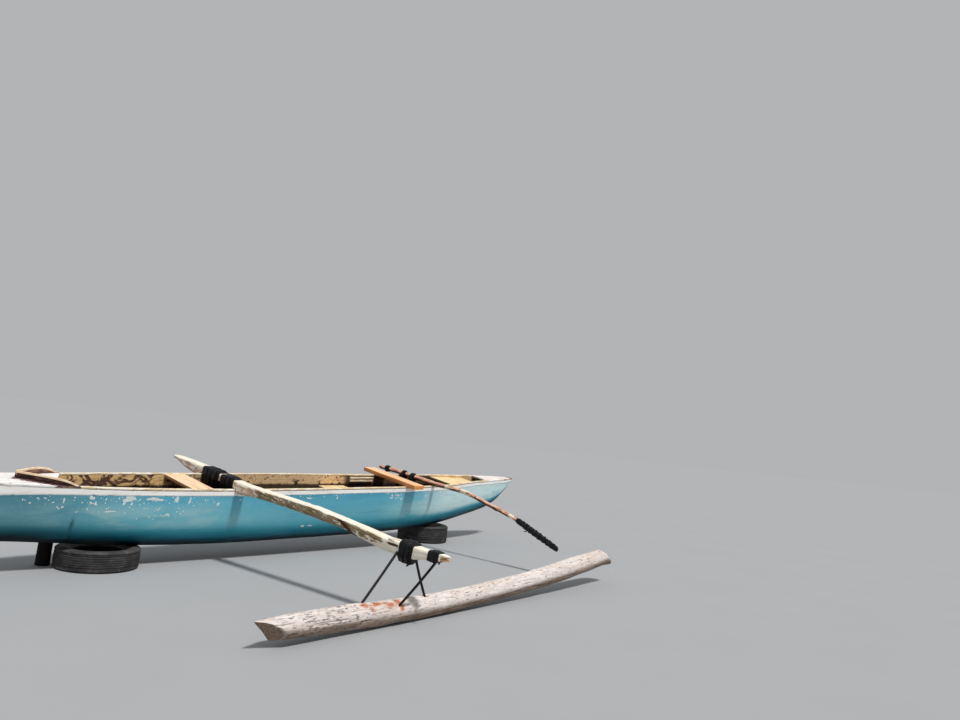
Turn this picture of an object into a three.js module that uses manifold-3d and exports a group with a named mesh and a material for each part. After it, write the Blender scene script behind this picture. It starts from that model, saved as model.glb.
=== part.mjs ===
// Single-outrigger canoe standing on old tyres: a hollow log hull with strakes, caps and decks, two booms,
// rod struts, a log float, and the tyres below the hull. Millimetres, +Z up.
// The boat's own frame has +X towards the stern and +Y to starboard, with its origin on the centreline at
// the gunwale's height, at the front boom's forward face.
import * as THREE from "three";
import { mergeVertices } from "three/addons/utils/BufferGeometryUtils.js";
import Module from "manifold-3d";

const CLEAR = 0.3; // gap between pieces that touch

// How the boat lies: heeled towards its float, its stern a little high, its origin above the floor.
const HEEL = THREE.MathUtils.degToRad(8.6);
const TRIM = THREE.MathUtils.degToRad(-1.0);
const BOAT_X = -537;
const BOAT_Y = 823;
const BOAT_RISE = 591;

// Hull sections from bow to stern: station, half beam, sheer height, keel height, fullness, and how far
// the white strake reaches below the sheer.
const HULL = [
  [-2930, 7, 78, -20, 2.0, 62],
  [-2850, 19, 73, -110, 2.0, 72],
  [-2650, 39, 64, -195, 2.0, 82],
  [-2200, 73, 50, -278, 2.1, 88],
  [-1700, 111, 34, -345, 2.2, 84],
  [-1300, 150, 20, -384, 2.3, 62],
  [-700, 212, 10, -442, 2.5, 53],
  [0, 240, 4, -477, 2.6, 52],
  [700, 251, 6, -485, 2.6, 52],
  [1400, 242, 7, -491, 2.6, 52],
  [2000, 232, 8, -488, 2.5, 52],
  [2600, 210, 17, -458, 2.4, 52],
  [3100, 145, 33, -390, 2.3, 50],
  [3500, 103, 38, -318, 2.1, 48],
  [3640, 87, 39, -272, 2.0, 47],
  [3750, 71, 39, -217, 2.0, 46],
  [3850, 52, 38, -137, 2.0, 45],
  [3935, 31, 37, -68, 2.0, 40],
  [4005, 10, 36, -12, 2.0, 32],
];
const [HALF_BEAM, SHEER, KEEL, FULLNESS, BAND] = [1, 2, 3, 4, 5];
const HULL_STEP = 125; // longest facet along the hull
const SECTION_FACETS = 18; // facets round one section
const WALL = 22;
const BOTTOM = 34;
const HOLLOW_FROM = -2500;
const HOLLOW_TO = 3640;
const CAP_THICK = 12;
const CAP_OUTSIDE = 5; // how far a cap or deck stands out past the hull's side
const ABOVE_ALL = 150; // cutters reach this far above the sheer
const FAR_OUT = 400; // and this far out, past the hull's side
const PAST_ENDS = 5; // and this far past its ends
// Lengths of log that the hull is joined from: name, from x, to x.
const LOGS = [
  ["hull_bow", -2930, -1085],
  ["hull_fore_length", -1085, 600],
  ["hull_aft_length", 600, 2350],
  ["hull_stern", 2350, 4005],
];

// Decks: the foredeck's aft edge is a V that its wave breaker follows.
const DECK_CROWN = 14;
const CROWN_FACETS = 8;
const FOREDECK_AFT = -1090;
const FOREDECK_V = 200;
const STERN_DECK_FROM = 3345;
const BREAKER_APEX = -1415;
const BREAKER_AFT = -1105;
const BREAKER_THICK = 11;
const BREAKER_HIGH = 36;
const BREAKER_SPREAD = 164;
const BREAKER_FALL = 0.55; // share of its height that it has lost at its aft end
const BREAKER_ROUND = 1.15; // how gently the arms leave the apex
const BREAKER_FACETS = 10;

// Planks across the hull: name, from x, to x, top below the sheer, thickness.
const PLANKS = [
  ["front_thwart", -318, -152, 3, 24],
  ["middle_seat", 1215, 1515, 104, 22],
  ["stern_seat", 2700, 3190, 14, 20],
];
const RISER_HIGH = 26;
const RISER_IN = 30;
const RISER_SETBACK = 8; // from the plank's edges
const REAR_THWART = { from: 1900, to: 2040, port: -338, starboard: 376, thick: 38 };
const INNER_CLEAT = { from: 1575, to: 1880, drop: 22, high: 44, deep: 26 };
const SPREADERS = [
  ["front_spreader", 42, -78, 21],
  ["rear_spreader", 2262, -62, 18],
];
const POLE_FACETS = 12;

// Front boom, from the chisel-cut far end outboard: y, underside, top. Then its width and arrises.
const BOOM_INNER = [
  [715, 22, 36],
  [590, 12, 46],
  [440, 7, 56],
  [245, 6, 62],
  [-250, 6, 68],
  [-330, 6, 74],
  [-600, 34, 96],
  [-860, 60, 116],
  [-1310, 84, 141],
];
const BOOM_OUTER = [
  [-1310, 76, 141],
  [-1500, 76, 150],
  [-1910, 70, 158],
  [-2090, 96, 166],
  [-2200, 122, 168],
  [-2350, 158, 180],
];
const BOOM_WIDE = 84;
const BOOM_ARRIS = 9;
const SCARF = { y: -1310, top: 141, slope: 2.1 }; // the sloped joint of the two lengths

// Rubber lashings round the front boom: name, from y, to y, wrap thickness, extra depth below.
const BOOM_LASHINGS = [
  ["hull_lashing_starboard", 208, -12, 9, 0],
  ["hull_lashing_port", -34, -208, 9, 0],
  ["outer_lashing", -1968, -2075, 16, 20],
  ["end_lashing", -2196, -2270, 11, 8],
];

const WRAP_EDGE = 0.7; // thickness at a wrap's ends, as part of its thickness at the middle

// Rear boom, a crooked branch: y, x, height of its centre above the sheer, radius.
const BRANCH = [
  [470, 2225, 22, 23],
  [230, 2268, 25, 25],
  [0, 2290, 26, 25],
  [-230, 2305, 26, 25],
  [-350, 2305, 35, 24],
  [-500, 2302, 46, 23],
  [-640, 2300, 52, 23],
  [-780, 2300, 42, 22],
  [-925, 2300, 22, 22],
  [-1110, 2300, 3, 21],
  [-1285, 2300, -24, 20],
  [-1510, 2300, -82, 20],
  [-1765, 2300, -146, 18],
];
const BRANCH_AT = 2290; // the sheer that its heights count from is the one here
const BRANCH_FACETS = 10;
const BRANCH_STEP = 75; // longest facet along it
// Rubber wraps on the rear boom: name, from y, to y, wrap thickness, goes round the spreader.
const BRANCH_WRAPS = [
  ["rear_lashing_outboard", 400, 340, 10, false],
  ["rear_lashing_middle", 185, 130, 11, true],
  ["rear_lashing_port", 75, 10, 11, true],
  ["rear_outer_wrap", -1290, -1750, 7, false],
];
const STRAP_SHARE = 0.8; // a strap's thickness beside the wrap's

// Float: station, height of its centre, half height, half width. Its ends lean from top to underside.
const FLOAT_Y = -2100;
const FLOAT = [
  [-1066, -160, 50, 50],
  [-900, -168, 61, 60],
  [-570, -182, 71, 66],
  [-20, -205, 73, 68],
  [300, -212, 71, 68],
  [700, -207, 68, 67],
  [1120, -196, 70, 68],
  [1660, -168, 79, 70],
  [2160, -127, 79, 69],
  [2430, -103, 72, 64],
];
const FLOAT_FACETS = 16;
const FLOAT_STEP = 150; // longest facet along it
const BOW_LEAN = 130;
const AFT_LEAN = 190;

// Rod struts between the boom's outer end and the float: name, top x, y, z, foot x, y, z.
const STRUTS = [
  ["strut_front", 10, -1958, 100, -352, -2085, -140],
  ["strut_outer", 16, -2245, 130, -92, -2140, -160],
  ["strut_aft", 74, -2060, 100, 175, -2105, -150],
];
const STRUT_RADIUS = 7;
const STRUT_FACETS = 8;

// Tyres lying flat: name, centre x and y in the boat's frame, outer diameter.
const TYRES = [
  ["front_tyre", -815, -20, 530],
  ["rear_tyre", 2635, 70, 530],
];
const DENT = 4; // how deep the hull presses into a tyre
const BEAD_DIAMETER = 320;
// Half of a tyre's section outside and inside: part of the way from bead to tread, part of the half width.
const TYRE_SKIN = [[0, 0.62], [0.13, 0.78], [0.47, 1], [0.82, 0.9], [1, 0.68]];
const TYRE_LINING = [[0.88, 0.62], [0.77, 0.76], [0.47, 0.83], [0.16, 0.62], [0.07, 0.48]];
const TYRE_CREST = 0.47; // the way from bead to tread where the sidewall is highest
const TYRE_FACETS = 36;
const PROP = { x: -1090, y: 150, radius: 45, foot: 47, top: -205 }; // post below the starboard bilge
const PROP_FACETS = 14;

const FINISHES = {
  teal: { color: 0x46879a, roughness: 0.5 },
  white: { color: 0xe1ded7, roughness: 0.6 },
  tan: { color: 0xc8aa82, roughness: 0.7 },
  newWood: { color: 0xe1b98c, roughness: 0.65 },
  orangeWood: { color: 0xdc9146, roughness: 0.6 },
  cream: { color: 0xebe1cd, roughness: 0.7 },
  bark: { color: 0x966955, roughness: 0.8 },
  driftwood: { color: 0xcdc3be, roughness: 0.85 },
  rubber: { color: 0x101217, roughness: 0.5 },
  tyre: { color: 0x37373a, roughness: 0.8 },
  steel: { color: 0x1c1a1a, roughness: 0.6, metalness: 0.4 },
};

const wasm = await Module();
wasm.setup();

// Smooth value of one column of a table at a station, a cubic between the rows on either side.
function sample(table, column, at) {
  const last = table.length - 1;
  const rising = table[last][0] > table[0][0] ? 1 : -1;
  let row = 0;
  while (row < last - 1 && rising * at > rising * table[row + 1][0]) row += 1;
  const slope = (i) => {
    const before = table[Math.max(i - 1, 0)];
    const after = table[Math.min(i + 1, last)];
    return (after[column] - before[column]) / (after[0] - before[0]);
  };
  const [p, q] = [table[row], table[row + 1]];
  const span = q[0] - p[0];
  const t = THREE.MathUtils.clamp((at - p[0]) / span, 0, 1);
  const ease = t * t * (3 - 2 * t);
  const leave = t * (1 - t) * (1 - t) * slope(row) * span;
  const arrive = t * t * (1 - t) * slope(row + 1) * span;
  return p[column] + ease * (q[column] - p[column]) + leave - arrive;
}

// Stations from one value to another, in equal steps no longer than the one given.
function stations(from, to, step) {
  const count = Math.max(1, Math.ceil(Math.abs(to - from) / step));
  return Array.from({ length: count + 1 }, (_, i) => from + ((to - from) * i) / count);
}

// Stations along the hull between two limits: every row of its table, and steps between them.
function hullStations(from, to) {
  const rows = HULL.map((row) => row[0]).filter((x) => x > from + 1 && x < to - 1);
  const stops = [from, ...rows, to];
  return stops.slice(1).flatMap((stop, i) => stations(stops[i], stop, HULL_STEP).slice(i === 0 ? 0 : 1));
}

// Closed body through convex rings of equally many points, its faces turned outwards.
function loft(rings) {
  const round = rings[0].length;
  const points = rings.flat();
  const index = [];
  for (let r = 0; r < rings.length - 1; r += 1) {
    for (let i = 0; i < round; i += 1) {
      const a = r * round + i;
      const b = r * round + ((i + 1) % round);
      index.push(a, b, b + round, a, b + round, a + round);
    }
  }
  const lastRing = (rings.length - 1) * round;
  for (let i = 1; i < round - 1; i += 1) {
    index.push(0, i + 1, i);
    index.push(lastRing, lastRing + i, lastRing + i + 1);
  }
  let volume = 0;
  for (let i = 0; i < index.length; i += 3) {
    const [p, q, r] = [points[index[i]], points[index[i + 1]], points[index[i + 2]]];
    volume += p.dot(new THREE.Vector3().crossVectors(q, r));
  }
  if (volume < 0) index.reverse();
  const geometry = new THREE.BufferGeometry();
  const coordinates = points.flatMap((p) => p.toArray());
  geometry.setAttribute("position", new THREE.Float32BufferAttribute(coordinates, 3));
  geometry.setIndex(index);
  return geometry;
}

// A geometry as a solid that can be joined and cut, and back.
function solid(geometry) {
  const bare = geometry.clone();
  bare.deleteAttribute("normal");
  bare.deleteAttribute("uv");
  const merged = mergeVertices(bare, 1e-3);
  const mesh = new wasm.Mesh({
    numProp: 3,
    vertProperties: merged.attributes.position.array,
    triVerts: new Uint32Array(merged.index.array),
  });
  return new wasm.Manifold(mesh);
}

function surface(body) {
  const mesh = body.getMesh();
  const geometry = new THREE.BufferGeometry();
  geometry.setAttribute("position", new THREE.Float32BufferAttribute(mesh.vertProperties, 3));
  geometry.setIndex(new THREE.Uint32BufferAttribute(mesh.triVerts, 1));
  return geometry;
}

function box(fromX, toX, fromY, toY, fromZ, toZ) {
  const geometry = new THREE.BoxGeometry(toX - fromX, toY - fromY, toZ - fromZ);
  return geometry.translate((fromX + toX) / 2, (fromY + toY) / 2, (fromZ + toZ) / 2);
}

function named(name, geometry, finish) {
  const faces = geometry.toNonIndexed();
  faces.computeVertexNormals();
  const mesh = new THREE.Mesh(faces, new THREE.MeshStandardMaterial(FINISHES[finish]));
  mesh.name = name;
  return mesh;
}

// Hull

const sheer = (x) => sample(HULL, SHEER, x);
const [BOW, STERN] = [HULL[0][0], HULL.at(-1)[0]];
const WIDEST_HALF = Math.max(...HULL.map((row) => row[HALF_BEAM]));
const DEEPEST = PAST_ENDS - Math.min(...HULL.map((row) => row[KEEL]));

// Points of a rounded U from port to starboard, inset from the outside of the hull.
function hullSection(x, inset, lift) {
  const half = sample(HULL, HALF_BEAM, x) - inset;
  const top = sheer(x) - CAP_THICK;
  const depth = top - sample(HULL, KEEL, x) - lift;
  const power = 2 / sample(HULL, FULLNESS, x);
  return Array.from({ length: SECTION_FACETS + 1 }, (_, i) => {
    const angle = (Math.PI * i) / SECTION_FACETS;
    const across = Math.cos(angle);
    const y = -half * Math.sign(across) * Math.abs(across) ** power;
    return new THREE.Vector3(x, y, top - depth * Math.sin(angle) ** power);
  });
}

function hullOutside() {
  return solid(loft(hullStations(BOW, STERN).map((x) => hullSection(x, 0, 0))));
}

// The hollow, raised above the sheer so that it cuts right through the top. A larger inset is smaller.
function hollow(inset) {
  const rings = hullStations(HOLLOW_FROM, HOLLOW_TO).map((x) => {
    const ring = hullSection(x, inset + WALL, inset + BOTTOM);
    const rim = [ring.at(-1), ring[0]].map((p) => p.clone().setZ(p.z + ABOVE_ALL));
    return [...ring, ...rim];
  });
  return solid(loft(rings));
}

// All that lies above the strakes' lower edge or, with a drop, above a line that far below the sheer.
function above(fromY, toY, drop = null, shift = 0) {
  const rings = [BOW - PAST_ENDS, ...hullStations(BOW, STERN), STERN + PAST_ENDS].map((x) => {
    const low = sheer(x) - (drop ?? sample(HULL, BAND, x)) + shift;
    const high = sheer(x) + ABOVE_ALL;
    const corners = [[fromY, low], [toY, low], [toY, high], [fromY, high]];
    return corners.map(([y, z]) => new THREE.Vector3(x, y, z));
  });
  return solid(loft(rings));
}

const shell = hullOutside().subtract(hollow(0));
const fitsHollow = hollow(CLEAR);

const belowStrakes = shell.subtract(above(-FAR_OUT, FAR_OUT));

// One length of the hull, with half of each joint's gap taken off its ends.
function hullLength(name, from, to) {
  const start = from === BOW ? from - PAST_ENDS : from + CLEAR / 2;
  const end = to === STERN ? to + PAST_ENDS : to - CLEAR / 2;
  const slab = solid(box(start, end, -FAR_OUT, FAR_OUT, -DEEPEST, ABOVE_ALL));
  return named(name, surface(belowStrakes.intersect(slab)), "teal");
}

function strake(name, side) {
  const edges = [side * (CLEAR / 2), side * FAR_OUT].sort((a, b) => a - b);
  const band = above(edges[0], edges[1], null, CLEAR);
  return named(name, surface(shell.intersect(band)), "white");
}

function cap(name, side) {
  const rings = hullStations(FOREDECK_AFT + CLEAR, STERN_DECK_FROM - CLEAR).map((x) => {
    const outer = side * (sample(HULL, HALF_BEAM, x) + CAP_OUTSIDE);
    const inner = side * (sample(HULL, HALF_BEAM, x) - WALL);
    const [low, high] = [sheer(x) - CAP_THICK + CLEAR, sheer(x)];
    const corners = [[outer, low], [inner, low], [inner, high], [outer, high]];
    return corners.map(([y, z]) => new THREE.Vector3(x, y, z));
  });
  return named(name, surface(solid(loft(rings))), "tan");
}

// Crowned board over the hull's whole width, with its underside on the strakes.
function deckBoard(from, to) {
  const rings = hullStations(from, to).map((x) => {
    const half = sample(HULL, HALF_BEAM, x) + CAP_OUTSIDE;
    const low = sheer(x) - CAP_THICK + CLEAR;
    const rise = (DECK_CROWN * half) / WIDEST_HALF;
    const crown = Array.from({ length: CROWN_FACETS + 1 }, (_, i) => {
      const part = (2 * i) / CROWN_FACETS - 1;
      return new THREE.Vector3(x, part * half, sheer(x) + rise * (1 - part * part));
    });
    return [new THREE.Vector3(x, half, low), new THREE.Vector3(x, -half, low), ...crown];
  });
  return solid(loft(rings));
}

function foredeck() {
  const board = deckBoard(BOW, FOREDECK_AFT);
  const half = sample(HULL, HALF_BEAM, FOREDECK_AFT) - WALL;
  const mouth = new THREE.Shape([
    new THREE.Vector2(FOREDECK_AFT - FOREDECK_V, 0),
    new THREE.Vector2(FOREDECK_AFT + PAST_ENDS, -half),
    new THREE.Vector2(FOREDECK_AFT + PAST_ENDS, half),
  ]);
  const cut = new THREE.ExtrudeGeometry(mouth, { depth: 2 * ABOVE_ALL, bevelEnabled: false });
  return board.subtract(solid(cut.translate(0, 0, -ABOVE_ALL)));
}

// One arm of the V, a thin curved board on the deck.
function breakerArm(name, side, deck) {
  const rings = Array.from({ length: BREAKER_FACETS + 1 }, (_, i) => {
    const t = i / BREAKER_FACETS;
    const x = THREE.MathUtils.lerp(BREAKER_APEX, BREAKER_AFT, t);
    const y = side * (CLEAR / 2 + BREAKER_SPREAD * Math.sin((t * Math.PI) / 2) ** BREAKER_ROUND);
    const high = sheer(x) + DECK_CROWN + BREAKER_HIGH * (1 - BREAKER_FALL * t * t);
    const low = sheer(x) - CAP_THICK / 2;
    const inner = y + side * BREAKER_THICK;
    const corners = [[y, low], [inner, low], [inner, high], [y, high]];
    return corners.map(([py, pz]) => new THREE.Vector3(x, py, pz));
  });
  const raised = deck.translate(0, 0, CLEAR);
  return named(name, surface(solid(loft(rings)).subtract(raised)), "tan");
}

// Planks, risers and bars inside the hull

function plank(name, from, to, drop, thick) {
  const top = Math.min(sheer(from), sheer(to)) - drop;
  const board = solid(box(from, to, -FAR_OUT, FAR_OUT, top - thick, top));
  return named(name, surface(board.intersect(fitsHollow)), "newWood");
}

function risers(name, from, to, drop, thick) {
  const top = Math.min(sheer(from), sheer(to)) - drop - thick - CLEAR;
  return [["port", -1], ["starboard", 1]].map(([label, side]) => {
    const half = innerHalf((from + to) / 2, top - RISER_HIGH / 2);
    const near = side * (half - RISER_IN);
    const [low, high] = [near, side * FAR_OUT].sort((a, b) => a - b);
    const [start, end] = [from + RISER_SETBACK, to - RISER_SETBACK];
    const block = solid(box(start, end, low, high, top - RISER_HIGH, top));
    return named(`${name}_riser_${label}`, surface(block.intersect(fitsHollow)), "tan");
  });
}

// Half width of the hollow at a station and height.
function innerHalf(x, z) {
  const top = sheer(x) - CAP_THICK;
  const depth = top - sample(HULL, KEEL, x) - BOTTOM;
  const power = sample(HULL, FULLNESS, x);
  return (sample(HULL, HALF_BEAM, x) - WALL) * (1 - ((top - z) / depth) ** power) ** (1 / power);
}

function rearThwart() {
  const { from, to, port, starboard, thick } = REAR_THWART;
  const low = Math.max(sheer(from), sheer(to)) + CLEAR;
  return named("rear_thwart", box(from, to, port, starboard, low, low + thick), "orangeWood");
}

function innerCleat() {
  const { from, to, drop, high, deep } = INNER_CLEAT;
  const top = sheer((from + to) / 2) - drop;
  const half = innerHalf((from + to) / 2, top - high);
  const block = solid(box(from, to, half - deep, FAR_OUT, top - high, top));
  return named("inner_cleat", surface(block.intersect(fitsHollow)), "tan");
}

function pole(x, z, radius) {
  const geometry = new THREE.CylinderGeometry(radius, radius, 2 * FAR_OUT, POLE_FACETS);
  return solid(geometry.translate(x, 0, z));
}

function spreader(name, x, z, radius) {
  return named(name, surface(pole(x, z, radius).intersect(fitsHollow)), "tan");
}

// Front boom

const capTopAtBoom = Math.max(sheer(0), sheer(BOOM_WIDE));
const BOOM_LIFT = capTopAtBoom - BOOM_INNER[3][1] + CLEAR;

// Beam along Y through a table's rows, its arrises cut, grown by a margin. At the splice its end slopes.
function beam(table, grow, gap) {
  const rings = table.map(([y, low, high]) => {
    const cut = Math.min(BOOM_ARRIS, (high - low) / 3);
    const [bottom, top, near, far] = [low - grow, high + grow, -grow, BOOM_WIDE + grow];
    const corners = [
      [near + cut, bottom], [far - cut, bottom], [far, bottom + cut], [far, top - cut],
      [far - cut, top], [near + cut, top], [near, top - cut], [near, bottom + cut],
    ];
    const slope = y === SCARF.y ? SCARF.slope : 0;
    return corners.map(([x, z]) => new THREE.Vector3(x, y - gap - slope * (SCARF.top - z), z + BOOM_LIFT));
  });
  return solid(loft(rings));
}

const boomInner = (grow) => beam(BOOM_INNER, grow, 0);
const boomOuter = (grow) => beam(BOOM_OUTER, grow, 2 * CLEAR);

// Rubber strip wound round the boom between two stations, and round the spreader where it has one.
function boomLashing(name, from, to, thick, extra, spreaderRow) {
  const mid = (from + to) / 2;
  const table = mid > BOOM_INNER.at(-1)[0] ? BOOM_INNER : BOOM_OUTER;
  const rings = [from, mid, to].map((y, i) => {
    const grow = i === 1 ? thick : thick * WRAP_EDGE;
    const high = sample(table, 2, y) + BOOM_LIFT + grow;
    const underside = sample(table, 1, y) + BOOM_LIFT - grow - (i === 1 ? extra : extra / 2);
    const [near, far] = [-grow, BOOM_WIDE + grow];
    const low = spreaderRow ? spreaderRow[2] - spreaderRow[3] - grow : underside;
    const waist = spreaderRow ? spreaderRow[3] + grow : BOOM_WIDE / 4;
    const middle = spreaderRow ? spreaderRow[1] : BOOM_WIDE / 2;
    const shoulder = spreaderRow ? underside : low + extra;
    const corners = [
      [middle - waist, low], [middle + waist, low], [far, shoulder], [far, high - BOOM_ARRIS],
      [far - BOOM_ARRIS, high], [near + BOOM_ARRIS, high], [near, high - BOOM_ARRIS], [near, shoulder],
    ];
    return corners.map(([x, z]) => new THREE.Vector3(x, y, z));
  });
  let wrap = solid(loft(rings)).subtract(boomInner(CLEAR)).subtract(boomOuter(CLEAR));
  for (const row of STRUTS) wrap = wrap.subtract(rod(row, STRUT_RADIUS + CLEAR));
  if (spreaderRow) wrap = wrap.subtract(pole(spreaderRow[1], spreaderRow[2], spreaderRow[3] + CLEAR));
  return named(name, surface(wrap), "rubber");
}

// Rear boom

// Place of the branch's centre at a station, and its radius there.
function branchAt(y) {
  return {
    x: sample(BRANCH, 1, y),
    z: sample(BRANCH, 2, y) + sheer(BRANCH_AT),
    radius: sample(BRANCH, 3, y),
  };
}

function branchRing(y, grow) {
  const { x, z, radius } = branchAt(y);
  return Array.from({ length: BRANCH_FACETS }, (_, i) => {
    const angle = (2 * Math.PI * i) / BRANCH_FACETS;
    const [across, up] = [Math.sin(angle), -Math.cos(angle)];
    return new THREE.Vector3(x + (radius + grow) * across, y, z + (radius + grow) * up);
  });
}

function branch(from, to, grow) {
  return solid(loft(stations(from, to, BRANCH_STEP).map((y) => branchRing(y, grow))));
}

const wholeBranch = (grow) => branch(BRANCH[0][0], BRANCH.at(-1)[0], grow);

// Rubber wound round the branch, and round the spreader below it where it ties the two together.
function branchWrap(name, from, to, thick, roundSpreader) {
  let wrap = branch(from, to, thick);
  if (roundSpreader) {
    const [, x, z, radius] = SPREADERS[1];
    wrap = wrap.add(strap(from, to, thick, x, z, radius)).subtract(pole(x, z, radius + CLEAR));
  }
  return named(name, surface(wrap.subtract(wholeBranch(CLEAR))), "rubber");
}

// The part of a wrap between the branch and the spreader.
function strap(from, to, thick, x, z, radius) {
  const rings = [from, to].map((y) => {
    const above = branchAt(y);
    const wide = above.radius + thick * STRAP_SHARE;
    const narrow = radius + thick * STRAP_SHARE;
    const low = z - narrow;
    const corners = [
      [x - narrow / 2, low], [x + narrow / 2, low], [x + narrow, low + narrow / 2],
      [above.x + wide, above.z], [above.x - wide, above.z], [x - narrow, low + narrow / 2],
    ];
    return corners.map(([px, pz]) => new THREE.Vector3(px, y, pz));
  });
  return solid(loft(rings));
}

// Float and struts

function floatLog(grow) {
  const [first, last] = [FLOAT[0][0], FLOAT.at(-1)[0]];
  const rings = stations(first, last, FLOAT_STEP).map((x) => {
    const [middle, high, wide] = [1, 2, 3].map((column) => sample(FLOAT, column, x));
    return Array.from({ length: FLOAT_FACETS }, (_, i) => {
      const angle = (2 * Math.PI * (i + 0.5)) / FLOAT_FACETS;
      const part = (1 + Math.cos(angle)) / 2;
      const lean = (x === first ? BOW_LEAN : 0) * part + (x === last ? AFT_LEAN : 0) * part;
      const y = FLOAT_Y + (wide + grow) * Math.sin(angle);
      return new THREE.Vector3(x + lean, y, middle - (high + grow) * Math.cos(angle));
    });
  });
  return solid(loft(rings));
}

// Round rod between a strut's top and foot.
function rod(row, radius) {
  const [, tx, ty, tz, fx, fy, fz] = row;
  const [top, foot] = [new THREE.Vector3(tx, ty, tz), new THREE.Vector3(fx, fy, fz)];
  const geometry = new THREE.CylinderGeometry(radius, radius, top.distanceTo(foot), STRUT_FACETS);
  const along = new THREE.Vector3().subVectors(top, foot).normalize();
  geometry.applyQuaternion(new THREE.Quaternion().setFromUnitVectors(new THREE.Vector3(0, 1, 0), along));
  const middle = new THREE.Vector3().addVectors(top, foot).multiplyScalar(0.5);
  return solid(geometry.translate(middle.x, middle.y, middle.z));
}

// Strut with what would reach into the boom and the float trimmed off.
function strut(row) {
  const trimmed = rod(row, STRUT_RADIUS).subtract(boomOuter(CLEAR)).subtract(floatLog(CLEAR));
  return named(row[0], surface(trimmed), "steel");
}

// Tyres

// Casing of a tyre without its rim, turned about Z: tread, two sidewalls, two beads, open inside.
function casing(diameter, width) {
  const half = width / 2;
  const side = (rows) => rows.map(([part, high]) => [betweenBeadAndTread(diameter, part), high * half]);
  const below = (rows) => rows.map(([r, z]) => [r, -z]).reverse();
  const [skin, lining] = [side(TYRE_SKIN), side(TYRE_LINING)];
  const loop = [...skin, ...below(skin), ...below(lining), ...lining].reverse();
  const points = [...loop, loop[0]].map(([r, z]) => new THREE.Vector2(r, z));
  return new THREE.LatheGeometry(points, TYRE_FACETS).rotateX(Math.PI / 2);
}

function betweenBeadAndTread(diameter, part) {
  return THREE.MathUtils.lerp(BEAD_DIAMETER / 2, diameter / 2, part);
}

// Point of the hull's underside, in the frame of the floor, above or below a point of the boat's frame.
function underside(x, y) {
  const part = Math.min(Math.abs(y) / sample(HULL, HALF_BEAM, x), 1);
  const top = sheer(x) - CAP_THICK;
  const power = sample(HULL, FULLNESS, x);
  const depth = (top - sample(HULL, KEEL, x)) * (1 - part ** power) ** (1 / power);
  return onFloor(x, y, top - depth);
}

// Tyre flat on the floor, as thick as the hull above it leaves it, with the dent that the hull makes.
function tyre(name, x, y, diameter) {
  const crest = betweenBeadAndTread(diameter, TYRE_CREST);
  const heights = Array.from({ length: 2 * TYRE_FACETS }, (_, i) => {
    const angle = (Math.PI * i) / TYRE_FACETS;
    return underside(x + crest * Math.cos(angle), y + crest * Math.sin(angle)).z;
  });
  const width = DENT + Math.min(...heights);
  const centre = onFloor(x, y, sample(HULL, KEEL, x));
  const ring = solid(casing(diameter, width)).translate(centre.x, centre.y, width / 2);
  return named(name, surface(ring.subtract(hullAbove)), "tyre");
}

// Upright post from the floor to the hull's starboard bilge.
function bilgeProp() {
  const foot = onFloor(PROP.x, PROP.y, sample(HULL, KEEL, PROP.x));
  const high = onFloor(PROP.x, PROP.y, PROP.top).z;
  const round = new THREE.CylinderGeometry(PROP.radius, PROP.foot, high, PROP_FACETS);
  const post = solid(round.rotateX(Math.PI / 2)).translate(foot.x, foot.y, high / 2);
  return named("bilge_prop", surface(post.subtract(hullAbove)), "tyre");
}

const boat = new THREE.Group();
boat.rotation.set(HEEL, TRIM, 0);
boat.position.set(BOAT_X, BOAT_Y, BOAT_RISE);
boat.updateMatrixWorld(true);

const deck = foredeck();
for (const row of LOGS) boat.add(hullLength(...row));
boat.add(strake("strake_port", -1), strake("strake_starboard", 1));
boat.add(cap("gunwale_cap_port", -1), cap("gunwale_cap_starboard", 1));
boat.add(named("foredeck", surface(deck), "white"));
boat.add(breakerArm("wave_breaker_port", -1, deck), breakerArm("wave_breaker_starboard", 1, deck));
boat.add(named("stern_deck", surface(deckBoard(STERN_DECK_FROM, STERN)), "white"));
for (const row of PLANKS) boat.add(plank(...row), ...risers(...row));
boat.add(rearThwart(), innerCleat());
for (const row of SPREADERS) boat.add(spreader(...row));
boat.add(named("front_boom", surface(boomInner(0)), "cream"));
boat.add(named("front_boom_outer", surface(boomOuter(0)), "cream"));
const lashings = BOOM_LASHINGS.map((row, i) => boomLashing(...row, i < 2 ? SPREADERS[0] : null));
boat.add(...lashings);
boat.add(named("rear_boom", surface(wholeBranch(0)), "bark"));
for (const row of BRANCH_WRAPS) boat.add(branchWrap(...row));
boat.add(named("float", surface(floatLog(0)), "driftwood"));
for (const row of STRUTS) boat.add(strut(row));

// A point of the boat's frame in the frame of the floor.
function onFloor(x, y, z) {
  return new THREE.Vector3(x, y, z).applyMatrix4(boat.matrixWorld);
}

// The hull as it lies above the floor, lowered to keep what stands below it clear.
const hullOnFloor = surface(hullOutside()).applyMatrix4(boat.matrixWorld);
const hullAbove = solid(hullOnFloor).translate(0, 0, -CLEAR);

const canoe = new THREE.Group();
canoe.add(boat);
for (const row of TYRES) canoe.add(tyre(...row));
canoe.add(bilgeProp());

export default canoe;
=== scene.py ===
import math

import bpy
import numpy as np
from mathutils import Matrix, Vector


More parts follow.
